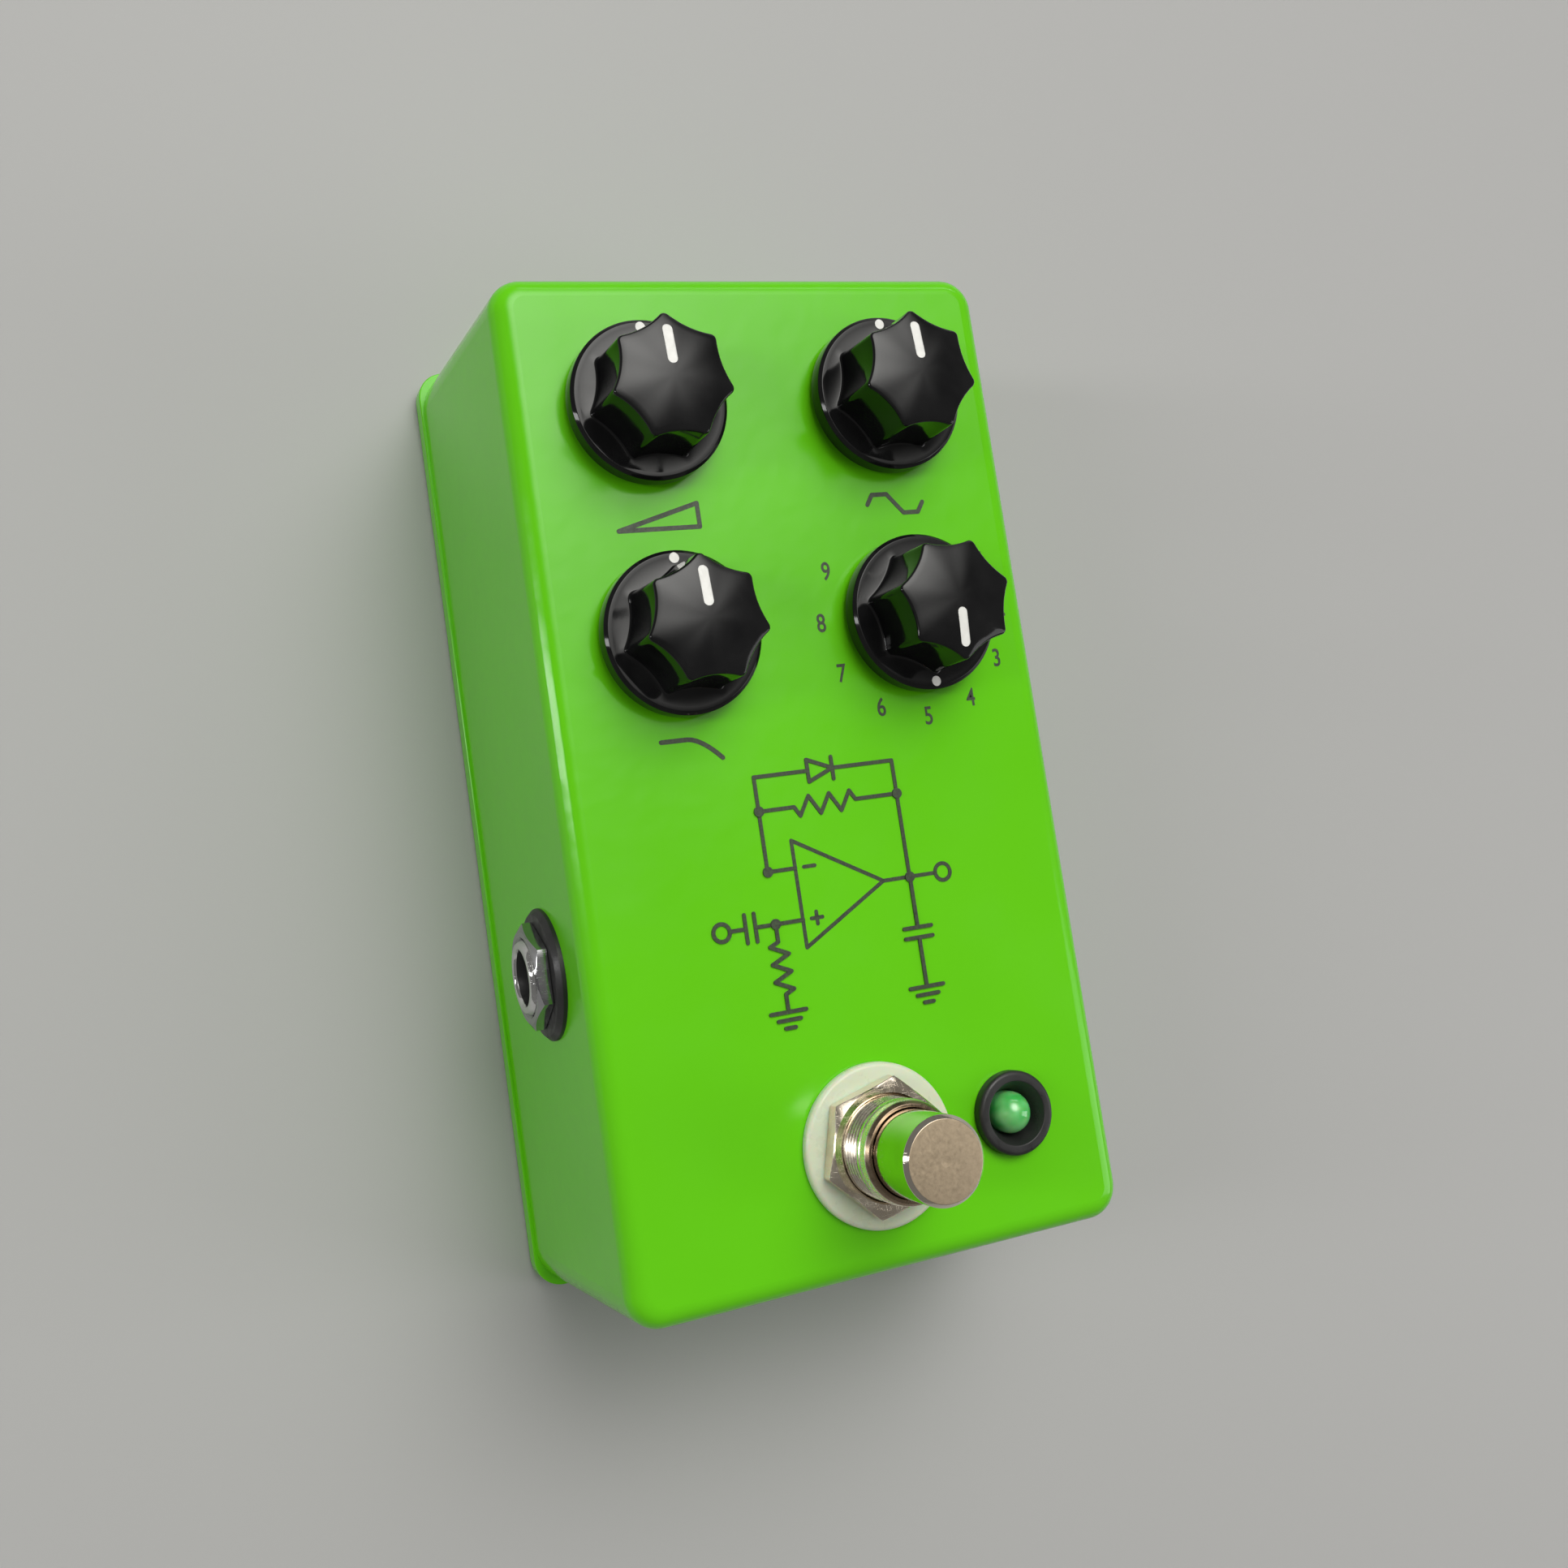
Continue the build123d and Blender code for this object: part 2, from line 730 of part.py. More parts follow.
with BuildPart() as led_lamp:
    with BuildSketch(lamp_level(lamp_bottom)):
        Circle(lamp_radius)
    extrude(amount=lamp_height)
    fillet(led_lamp.edges().sort_by(Axis.Z)[-1], lamp_radius - lamp_dome_flat)
    with BuildSketch(lamp_level(lamp_bottom)):
        Circle(lamp_radius + lamp_flange)
    extrude(amount=lamp_flange_height)
save(led_lamp, "led_lamp")

with BuildPart() as led_leads:
    with BuildSketch(lamp_level(lamp_bottom)):
        with GridLocations(lead_pitch, 0, 2, 1):
            Rectangle(lead_width, lead_width)
    extrude(amount=-(lamp_bottom - switch_board_top + board_thickness + lead_stickout))
save(led_leads, "led_leads")

# Quarter-inch sockets
bevel_foot = jack_washer_front - jack_washer_bevel_height
for name, side in sockets.items():
    with BuildPart() as jack_body:
        with BuildSketch(side_plane(side, jack_inner_end)):
            Rectangle(jack_body_width, jack_body_height)
        extrude(amount=jack_outer_end - jack_inner_end)
        chamfer(jack_body.edges().filter_by(Axis.X), jack_body_edge)
        with BuildSketch(side_plane(side, jack_inner_end + jack_end_wall)):
            Circle(plug_bore_radius)
        extrude(amount=jack_outer_end, mode=Mode.SUBTRACT)
        with Locations((side * tip_window_x, jack_y, jack_z + tip_window_z)):
            Box(*tip_window, mode=Mode.SUBTRACT)
        for lug in jack_lugs:
            with Locations((side * lug, jack_y, jack_z + lug_slot_z)):
                Box(contact_thickness, contact_width, lug_slot_height, mode=Mode.SUBTRACT)
    save(jack_body, f"{name}_jack_body")

    with BuildPart() as jack_bushing:
        with BuildSketch(side_plane(side, jack_outer_end)):
            Circle(jack_thread_radius)
        extrude(amount=jack_rim - jack_outer_end)
        chamfer(jack_bushing.edges().sort_by(Axis.X)[-1 if side > 0 else 0], jack_rim_edge)
        with BuildSketch(side_plane(side, jack_outer_end)):
            Circle(plug_bore_radius)
        extrude(amount=jack_rim - jack_outer_end, mode=Mode.SUBTRACT)
    save(jack_bushing, f"{name}_jack_bushing")

    with BuildPart() as jack_washer:
        with BuildSketch(side_plane(side, jack_washer_front)):
            Circle(jack_washer_radius - jack_washer_bevel)
        with BuildSketch(side_plane(side, bevel_foot)):
            Circle(jack_washer_radius)
        loft()
        with BuildSketch(side_plane(side, bevel_foot)):
            Circle(jack_washer_radius)
        extrude(amount=-jack_washer_depth)
        with BuildSketch(side_plane(side, jack_washer_front)):
            Circle(jack_thread_radius + washer_play)
        extrude(amount=-2 * jack_washer_depth, mode=Mode.SUBTRACT)
        add(shell_block, mode=Mode.SUBTRACT)
    save(jack_washer, f"{name}_jack_washer")

    with BuildPart() as jack_nut:
        with BuildSketch(side_plane(side, jack_washer_front)):
            RegularPolygon(jack_nut_size / 2, 6, major_radius=False)
            Circle(jack_thread_radius + thread_play, mode=Mode.SUBTRACT)
        extrude(amount=jack_nut_front - jack_washer_front)
    save(jack_nut, f"{name}_jack_nut")

    with BuildPart() as jack_contacts:
        for lug in jack_lugs:
            with Locations((side * lug, jack_y, jack_z + lug_z)):
                Box(contact_thickness, contact_width, lug_height)
        with Locations((side * tip_contact_x, jack_y, jack_z + tip_contact_z)):
            Box(tip_contact_length, contact_width, contact_thickness)
    save(jack_contacts, f"{name}_jack_contacts")

# Power socket
with BuildPart() as dc_jack_body:
    with BuildSketch(rear_plane(power_body_rear)):
        RectangleRounded(power_body_width, power_body_width, power_body_corner)
    extrude(amount=power_body_front - power_body_rear)
    with BuildSketch(rear_plane(power_body_front)):
        Circle(power_thread_radius)
    extrude(amount=power_rim - power_body_front)
    with BuildSketch(rear_plane(power_body_rear + power_floor)):
        Circle(power_bore_radius)
    extrude(amount=power_rim - power_body_rear, mode=Mode.SUBTRACT)
    with BuildSketch(rear_plane(power_body_rear)):
        Circle(power_pin_radius)
        with Locations((0, power_tab_z)):
            Rectangle(power_tab_width, power_tab_thickness)
    extrude(amount=power_floor, mode=Mode.SUBTRACT)
save(dc_jack_body, "dc_jack_body")

with BuildPart() as dc_jack_nut:
    with BuildSketch(rear_plane(power_nut_front)):
        RegularPolygon(power_nut_size / 2, 6, major_radius=False)
        Circle(power_thread_radius + thread_play, mode=Mode.SUBTRACT)
    extrude(amount=-power_nut_thickness)
    add(shell_block, mode=Mode.SUBTRACT)
save(dc_jack_nut, "dc_jack_nut")

with BuildPart() as dc_jack_contacts:
    with BuildSketch(rear_plane(power_body_rear - power_tail)):
        Circle(power_pin_radius)
    extrude(amount=power_rim - power_pin_recess - power_body_rear + power_tail)
    with BuildSketch(rear_plane(power_body_rear - power_tail)):
        with Locations((0, power_tab_z)):
            Rectangle(power_tab_width, power_tab_thickness)
    extrude(amount=power_floor + power_tail)
save(dc_jack_contacts, "dc_jack_contacts")

# Boards: the main one carries the controls, the small one hangs on the foot switch
with BuildPart() as main_board:
    with BuildSketch(Plane(origin=(0, (board_near + board_far) / 2, board_bottom))):
        RectangleRounded(board_width, board_length, board_corner)
    extrude(amount=board_thickness)
    for name, (x, y, turn) in controls.items():
        with BuildSketch(control_plane(x, y, turn, board_bottom)):
            add(control_pins(name, pin_play))
        extrude(amount=board_thickness, mode=Mode.SUBTRACT)
save(main_board, "main_board")

with BuildPart() as footswitch_board:
    with BuildSketch(Plane(origin=(switch_board_x, switch_y, switch_board_top))):
        RectangleRounded(switch_board_width, switch_board_length, switch_board_corner)
    extrude(amount=-board_thickness)
    with BuildSketch(switch_level(switch_board_top)):
        with GridLocations(lug_pitch, lug_pitch, 3, 3):
            Rectangle(lug_width + 2 * pin_play, lug_thickness + 2 * pin_play)
        with Locations((lamp_x, lamp_y - switch_y)):
            with GridLocations(lead_pitch, 0, 2, 1):
                Rectangle(lead_width + 2 * pin_play, lead_width + 2 * pin_play)
    extrude(amount=-board_thickness, mode=Mode.SUBTRACT)
save(footswitch_board, "footswitch_board")

# Components on the underside of the main board
with BuildPart() as board_chips:
    with BuildSketch(Plane(origin=(0, chip_y, board_bottom))):
        with GridLocations(chip_spacing, 0, 2, 1):
            Rectangle(chip_size[0], chip_size[1])
    extrude(amount=-chip_size[2])
    fillet(board_chips.edges().filter_by(Axis.Z), package_edge)
save(board_chips, "board_chips")

with BuildPart() as board_film_caps:
    with BuildSketch(Plane(origin=(0, film_cap_y, board_bottom))):
        with GridLocations(film_cap_spacing, 0, film_cap_count, 1):
            Rectangle(film_cap_size[0], film_cap_size[1])
    extrude(amount=-film_cap_size[2])
    fillet(board_film_caps.edges().filter_by(Axis.Z), package_edge)
save(board_film_caps, "board_film_caps")

with BuildPart() as board_electrolytics:
    with BuildSketch(Plane(origin=(0, can_y, board_bottom))):
        with GridLocations(0, can_spacing, 1, 2):
            Circle(can_radius)
    extrude(amount=-can_height)
    fillet(board_electrolytics.faces().sort_by(Axis.Z)[0:2].edges(), package_edge)
save(board_electrolytics, "board_electrolytics")

with BuildPart() as board_resistors:
    with Locations((0, resistor_y, board_bottom - resistor_drop)):
        with GridLocations(resistor_spacing, 0, resistor_count, 1):
            Cylinder(resistor_radius, resistor_length, rotation=(0, 90, 0))
save(board_resistors, "board_resistors")

with BuildPart() as board_diodes:
    with Locations((0, diode_y, board_bottom - diode_drop)):
        with GridLocations(diode_spacing, 0, diode_count, 1):
            Cylinder(diode_radius, diode_length, rotation=(90, 0, 0))
save(board_diodes, "board_diodes")

# Insulated wires, each of straight runs with round bends: from the foot switch to the main board
# under the sockets, from the sockets' lugs over its near edge, and from the power socket
ribbon_start = switch_y + ribbon_start_gap
ribbon_end = board_near + ribbon_end_gap
jack_wire_z = jack_z + jack_wire_rise
jack_wire_end = board_near + jack_wire_end_gap
power_wire_y = power_body_rear - power_wire_gap
power_wires = ((power_z, power_wire_y), (power_z + power_tab_z, power_wire_y - power_wire_spacing))
wire_routes = []
for x in ribbon_xs:
    wire_routes.append([
        (x, ribbon_start, switch_board_top - board_thickness),
        (x, ribbon_start, ribbon_low),
        (x, ribbon_end, ribbon_low),
        (x, ribbon_end, board_bottom),
    ])
for side in sockets.values():
    for lug in jack_lugs:
        wire_routes.append([
            (side * lug, jack_y + jack_wire_start, jack_wire_z),
            (side * lug, jack_wire_end, jack_wire_z),
            (side * lug, jack_wire_end, board_top),
        ])
for z, y in power_wires:
    wire_routes.append([
        (0, power_body_rear - power_tail, z),
        (0, y, z),
        (0, y, board_bottom),
    ])
with BuildPart() as hookup_wires:
    for points in wire_routes:
        with BuildLine() as route:
            FilletPolyline(*points, radius=wire_bend)
        with BuildSketch(Plane(origin=route.line @ 0, z_dir=route.line % 0)):
            Circle(wire_radius)
        sweep(path=route.line)
save(hookup_wires, "hookup_wires")
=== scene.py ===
"""Looks for the guitar effects pedal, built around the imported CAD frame. Lengths are in metres."""
import json
import math

import bmesh
import bpy
from mathutils import Matrix, Vector


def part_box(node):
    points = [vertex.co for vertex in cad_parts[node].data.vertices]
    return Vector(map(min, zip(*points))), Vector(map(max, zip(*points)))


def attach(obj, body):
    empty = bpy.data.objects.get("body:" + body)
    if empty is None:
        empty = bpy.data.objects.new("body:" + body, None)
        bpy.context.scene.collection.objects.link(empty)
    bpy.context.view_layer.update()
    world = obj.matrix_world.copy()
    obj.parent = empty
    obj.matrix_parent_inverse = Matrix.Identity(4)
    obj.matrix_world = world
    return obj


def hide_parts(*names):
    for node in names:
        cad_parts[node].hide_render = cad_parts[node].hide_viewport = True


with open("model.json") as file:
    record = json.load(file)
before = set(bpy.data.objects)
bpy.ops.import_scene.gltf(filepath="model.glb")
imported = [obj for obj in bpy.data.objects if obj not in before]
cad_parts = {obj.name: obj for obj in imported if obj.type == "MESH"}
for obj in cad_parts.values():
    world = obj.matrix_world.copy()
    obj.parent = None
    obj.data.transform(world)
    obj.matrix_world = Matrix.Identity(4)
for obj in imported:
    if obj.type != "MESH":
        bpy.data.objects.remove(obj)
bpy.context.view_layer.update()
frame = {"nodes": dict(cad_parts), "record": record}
nodes = frame["nodes"]

MM = 0.001
UP = Vector((0, 0, 1))
LATHE_STEPS = 96
CONTROLS = ("volume", "drive", "tone", "mode")
CHASSIS = "chassis"
THREAD_ROWS_PER_TURN = 8
THREAD_FLANK = 0.8
NUT_CHAMFER_ANGLE = 25
NUT_CORNER_SHARE = 0.992
NUT_FACE_SHARE = 0.985
NUT_EDGE = 0.09 * MM
NUT_LEAD_IN = 0.28 * MM
SWITCH_THREAD_RADIUS = 5.85 * MM
SWITCH_THREAD_DEPTH = 0.3 * MM

# The level of the printed face, read from the frame
face_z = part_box("enclosure")[1].z


def centre_of(node):
    """The middle of a CAD node's box."""
    low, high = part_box(node)
    return (low + high) / 2


# ---------------------------------------------------------------- mesh building


def rounded(corners, cyclic=True, steps=5):
    """A profile through corners (r, z, radius), each rounded by an arc; open ends stay sharp."""
    profile = []
    count = len(corners)
    for i, (r, z, radius) in enumerate(corners):
        here = Vector((r, z))
        at_end = not cyclic and i in (0, count - 1)
        if radius <= 0 or at_end:
            profile.append(here)
            continue
        before = (Vector(corners[i - 1][:2]) - here).normalized()
        after = (Vector(corners[(i + 1) % count][:2]) - here).normalized()
        half_angle = before.angle(after) / 2
        reach = radius / math.tan(half_angle)
        middle = here + (before + after).normalized() * (radius / math.sin(half_angle))
        start = here + before * reach - middle
        end = here + after * reach - middle
        for step in range(steps + 1):
            share = step / steps
            spoke = start.lerp(end, share)
            profile.append(middle + spoke.normalized() * radius)
    return profile


def placed(origin, axis=UP, turn=0.0):
    """The matrix that takes a piece built about +Z to an origin and an axis, turned about that axis."""
    upright = Vector(axis).to_track_quat("Z", "Y").to_matrix().to_4x4()
    if Vector(axis) == UP:
        upright = Matrix.Identity(4)
    return Matrix.Translation(origin) @ upright @ Matrix.Rotation(turn, 4, "Z")


def turned_to(matrix, direction):
    """The turn about a piece's own axis that brings its +X round to a direction."""
    local = matrix.to_3x3().inverted() @ Vector(direction)
    return Matrix.Rotation(math.atan2(local.y, local.x), 4, "Z")


def new_object(name, bm, materials, sharp_degrees=32):
    """An object from a bmesh, cleaned, with smooth faces and sharp edges marked by angle."""
    bmesh.ops.remove_doubles(bm, verts=bm.verts, dist=1e-8)
    bmesh.ops.recalc_face_normals(bm, faces=bm.faces)
    mesh = bpy.data.meshes.new(name)
    bm.to_mesh(mesh)
    bm.free()
    mesh.shade_smooth()
    mesh.set_sharp_from_angle(angle=math.radians(sharp_degrees))
    for material in materials:
        mesh.materials.append(material)
    obj = bpy.data.objects.new(name, mesh)
    bpy.context.scene.collection.objects.link(obj)
    return obj


def skin_rings(bm, rings, cyclic):
    """Quads between rings of equal point counts; cyclic joins the last ring to the first."""
    made = [[bm.verts.new(point) for point in ring] for ring in rings]
    count = len(made[0])
    pairs = list(zip(made, made[1:]))
    if cyclic:
        pairs.append((made[-1], made[0]))
    for low, high in pairs:
        for i in range(count):
            j = (i + 1) % count
            bm.faces.new((low[i], low[j], high[j], high[i]))


def ring_piece(name, rings, matrix, materials, cyclic=True, sharp_degrees=32):
    """A closed piece skinned through rings and moved to its place."""
    bm = bmesh.new()
    skin_rings(bm, rings, cyclic)
    bm.transform(matrix)
    return new_object(name, bm, materials, sharp_degrees)


def circle_ring(radius, z, steps=LATHE_STEPS):
    """The points of one level circle."""
    return [
        (radius * math.cos(math.tau * i / steps), radius * math.sin(math.tau * i / steps), z)
        for i in range(steps)
    ]


def lathe(name, profile, matrix, materials, cyclic=True, steps=LATHE_STEPS):
    """A turned piece from a profile of (r, z) points."""
    rings = [circle_ring(max(r, 0), z, steps) for r, z in profile]
    return ring_piece(name, rings, matrix, materials, cyclic)


def thread_rings(radius, depth, pitch, low, high):
    """Rings of a helical thread between two levels, fading out at both ends."""
    rows = max(2, round((high - low) / pitch * THREAD_ROWS_PER_TURN))
    rings = []
    for row in range(rows + 1):
        z = low + (high - low) * row / rows
        fade = min(1.0, (z - low) / pitch, (high - z) / pitch)
        ring = []
        for i in range(LATHE_STEPS):
            angle = math.tau * i / LATHE_STEPS
            phase = (z / pitch - i / LATHE_STEPS) % 1.0
            groove = depth * fade * (1 - abs(2 * phase - 1)) ** THREAD_FLANK
            r = radius - groove
            ring.append((r * math.cos(angle), r * math.sin(angle), z))
        rings.append(ring)
    return rings


def hex_nut(name, across_flats, bore, low, high, matrix, materials):
    """A hex nut about +Z whose upper corners are cut by a cone."""
    flat = across_flats / 2
    corner_limit = flat / math.cos(math.pi / 6) * NUT_CORNER_SHARE
    face_radius = flat * NUT_FACE_SHARE
    slope = math.tan(math.radians(NUT_CHAMFER_ANGLE))
    angles = [math.tau * i / LATHE_STEPS for i in range(LATHE_STEPS)]

    def hex_radius(angle):
        """Distance from the axis to the hexagon's side, with its corners blunted a little."""
        within = (angle + math.pi / 6) % (math.pi / 3) - math.pi / 6
        return min(flat / math.cos(within), corner_limit)

    def drop(radius):
        """How far the cone has fallen below the face at a radius."""
        return max(0.0, radius - face_radius) * slope

    def ring(radius_at, level_at):
        """One ring whose radius and level depend on the hexagon's radius at each angle."""
        points = []
        for angle in angles:
            outer = hex_radius(angle)
            r = radius_at(outer)
            points.append((r * math.cos(angle), r * math.sin(angle), level_at(outer)))
        return points

    rings = [
        ring(lambda outer: bore, lambda outer: low + NUT_LEAD_IN),
        ring(lambda outer: bore + NUT_LEAD_IN, lambda outer: low),
        ring(lambda outer: face_radius, lambda outer: low),
        ring(lambda outer: outer - NUT_EDGE, lambda outer: low),
        ring(lambda outer: outer, lambda outer: low + NUT_EDGE),
        ring(lambda outer: outer, lambda outer: high - NUT_EDGE - drop(outer)),
        ring(lambda outer: outer - NUT_EDGE, lambda outer: high - drop(outer)),
        ring(lambda outer: face_radius, lambda outer: high),
        ring(lambda outer: bore + NUT_LEAD_IN, lambda outer: high),
        ring(lambda outer: bore, lambda outer: high - NUT_LEAD_IN),
    ]
    return ring_piece(name, rings, matrix, materials, sharp_degrees=24)


def cut(obj, cutter):
    """Cuts one mesh out of another and removes the cutter."""
    boolean = obj.modifiers.new("cut", "BOOLEAN")
    boolean.operation = "DIFFERENCE"
    boolean.solver = "EXACT"
    boolean.object = cutter
    bpy.context.view_layer.update()
    evaluated = obj.evaluated_get(bpy.context.evaluated_depsgraph_get())
    mesh = bpy.data.meshes.new_from_object(evaluated)
    obj.modifiers.clear()
    obj.data = mesh
    mesh.shade_smooth()
    mesh.set_sharp_from_angle(angle=math.radians(32))
    bpy.data.objects.remove(cutter)


# ---------------------------------------------------------------- materials


class Surface:
    """A Principled material in object space, to which layers of fine detail are added."""

    def __init__(self, name, colour, roughness, metallic=0.0, **sockets):
        self.material = bpy.data.materials.new(name)
        self.material.use_nodes = True
        self.nodes = self.material.node_tree.nodes
        self.links = self.material.node_tree.links
        self.shader = self.nodes["Principled BSDF"]
        self.colour = colour
        self.roughness = roughness
        self.normal = None
        self.shader.inputs["Base Color"].default_value = (*colour, 1)
        self.shader.inputs["Roughness"].default_value = roughness
        self.shader.inputs["Metallic"].default_value = metallic
        for socket, value in sockets.items():
            self.shader.inputs[socket.replace("_", " ")].default_value = value
        self.place = self.nodes.new("ShaderNodeTexCoord").outputs["Object"]

    def noise(self, size, detail=3.0, rough=0.5, stretch=(1, 1, 1)):
        """A noise whose features are about size across, stretched along the axes."""
        mapping = self.nodes.new("ShaderNodeMapping")
        mapping.inputs["Scale"].default_value = stretch
        self.links.new(self.place, mapping.inputs["Vector"])
        texture = self.nodes.new("ShaderNodeTexNoise")
        texture.inputs["Scale"].default_value = 1 / size
        texture.inputs["Detail"].default_value = detail
        texture.inputs["Roughness"].default_value = rough
        self.links.new(mapping.outputs["Vector"], texture.inputs["Vector"])
        return texture.outputs["Fac"]

    def spread(self, source, low, high, start=0.3, end=0.7):
        """Maps a value between start and end to low and high."""
        node = self.nodes.new("ShaderNodeMapRange")
        for socket, value in (
            ("From Min", start), ("From Max", end), ("To Min", low), ("To Max", high),
        ):
            node.inputs[socket].default_value = value
        self.links.new(source, node.inputs["Value"])
        return node.outputs["Result"]

    def mottle(self, source, other_colour, share):
        """Mixes part of another colour into the base colour where the source is high."""
        mix = self.nodes.new("ShaderNodeMix")
        mix.data_type = "RGBA"
        mix.inputs["A"].default_value = (*self.colour, 1)
        mix.inputs["B"].default_value = (*other_colour, 1)
        self.links.new(self.spread(source, 0.0, share), mix.inputs["Factor"])
        self.links.new(mix.outputs["Result"], self.shader.inputs["Base Color"])
        return self

    def uneven(self, source, amount):
        """Varies the roughness by an amount either side of its value."""
        varied = self.spread(source, max(0.0, self.roughness - amount), self.roughness + amount)
        self.links.new(varied, self.shader.inputs["Roughness"])
        return self

    def relief(self, source, height):
        """Raises the surface by height where the source is high, on top of earlier relief."""
        bump = self.nodes.new("ShaderNodeBump")
        bump.inputs["Distance"].default_value = height
        self.links.new(source, bump.inputs["Height"])
        if self.normal:
            self.links.new(self.normal, bump.inputs["Normal"])
        self.normal = bump.outputs["Normal"]
        self.links.new(self.normal, self.shader.inputs["Normal"])
        return self

    def scratches(self, size, stretch, height, crest=0.66):
        """Sparse fine lines: the thin crests of a stretched noise."""
        lines = self.spread(self.noise(size, 1.0, 0.5, stretch), 0.0, 1.0, crest, crest + 0.03)
        return self.relief(lines, height)

    def grime(self, axis_at, crest_radius, depth, shade_colour):
        """Painted shade in the grooves of a thread about an upright axis, by distance from that axis:
        darkest at the roots.
        """
        offset = self.nodes.new("ShaderNodeVectorMath")
        offset.operation = "SUBTRACT"
        offset.inputs[1].default_value = (axis_at.x, axis_at.y, 0)
        flat = self.nodes.new("ShaderNodeVectorMath")
        flat.operation = "MULTIPLY"
        flat.inputs[1].default_value = (1, 1, 0)
        length = self.nodes.new("ShaderNodeVectorMath")
        length.operation = "LENGTH"
        self.links.new(self.place, offset.inputs[0])
        self.links.new(offset.outputs["Vector"], flat.inputs[0])
        self.links.new(flat.outputs["Vector"], length.inputs[0])
        root, near_crest = crest_radius - depth, crest_radius - depth * 0.2
        return self.mottle(self.spread(length.outputs["Value"], 1.0, 0.0, root, near_crest), shade_colour, 0.9)


def paint(name, colour, darker):
    """Gloss paint with orange peel and slow drifts of colour and gloss."""
    surface = Surface(name, colour, 0.16, 0.0, Specular_IOR_Level=0.34)
    surface.mottle(surface.noise(28 * MM, 2.0), darker, 0.5)
    surface.uneven(surface.noise(9 * MM, 3.0), 0.06)
    surface.relief(surface.noise(2.6 * MM, 1.5, 0.4), 0.030 * MM)
    return surface.material


def black_plastic(name, colour, roughness, grain, grain_height, shine=0.5):
    """Moulded black plastic: polished or grained, with a trace of dust and handling."""
    surface = Surface(name, colour, roughness, Specular_IOR_Level=shine)
    dusty = tuple(value + 0.012 for value in colour)
    surface.mottle(surface.noise(4 * MM, 4.0), dusty, 0.5)
    surface.uneven(surface.noise(2.2 * MM, 4.0), roughness * 0.4)
    surface.relief(surface.noise(grain, 2.0), grain_height)
    return surface.material


def plated(name, colour, darker, roughness, scratch_height, drift=2.5 * MM):
    """Plated metal with slow tone drift, uneven polish and fine scratches in two directions."""
    surface = Surface(name, colour, roughness, 1.0)
    surface.mottle(surface.noise(drift, 4.0), darker, 0.7)
    surface.uneven(surface.noise(1.2 * MM, 3.0), roughness * 0.35)
    surface.scratches(0.9 * MM, (1, 14, 1), scratch_height)
    surface.scratches(1.1 * MM, (12, 1, 1), scratch_height)
    return surface.material


def moulded(name, colour, roughness=0.5):
    """A plain moulded part with fine grain and slight colour drift."""
    surface = Surface(name, colour, roughness)
    surface.mottle(surface.noise(3 * MM), tuple(value * 0.75 for value in colour), 0.6)
    surface.uneven(surface.noise(1.5 * MM), 0.08)
    surface.relief(surface.noise(0.25 * MM, 2.0), 0.006 * MM)
    return surface.material


def nylon():
    """Natural nylon: milky, slightly translucent, with cloudy depth."""
    surface = Surface(
        "natural_nylon", (0.66, 0.72, 0.56), 0.32, 0.0,
        Subsurface_Weight=0.6, Subsurface_Scale=1.2 * MM,
    )
    surface.mottle(surface.noise(5 * MM, 3.0), (0.58, 0.66, 0.47), 0.6)
    surface.uneven(surface.noise(1.6 * MM), 0.08)
    surface.relief(surface.noise(0.5 * MM, 2.0), 0.006 * MM)
    return surface.material


def lens():
    """Green tinted clear lens over a milky core."""
    surface = Surface(
        "green_lens", (0.06, 0.56, 0.10), 0.04, 0.0,
        Transmission_Weight=0.10, IOR=1.5, Coat_Weight=1.0, Coat_Roughness=0.01,
        Subsurface_Weight=0.5, Subsurface_Scale=1.5 * MM,
    )
    surface.mottle(surface.noise(2.0 * MM, 1.0), (0.34, 0.86, 0.34), 0.8)
    surface.uneven(surface.noise(0.8 * MM), 0.02)
    return surface.material


def ink():
    """Dark printed ink with worn, slightly thin patches."""
    surface = Surface("printed_ink", (0.022, 0.03, 0.018), 0.42)
    surface.mottle(surface.noise(0.25 * MM, 3.0), (0.06, 0.10, 0.04), 0.7)
    surface.uneven(surface.noise(0.4 * MM), 0.12)
    surface.relief(surface.noise(0.15 * MM), 0.004 * MM)
    return surface.material


def white_fill():
    """White paint laid in a groove."""
    surface = Surface("white_fill", (0.86, 0.86, 0.82), 0.38)
    surface.mottle(surface.noise(1.0 * MM, 3.0), (0.70, 0.70, 0.66), 0.5)
    surface.uneven(surface.noise(0.5 * MM), 0.1)
    surface.relief(surface.noise(0.3 * MM), 0.01 * MM)
    return surface.material


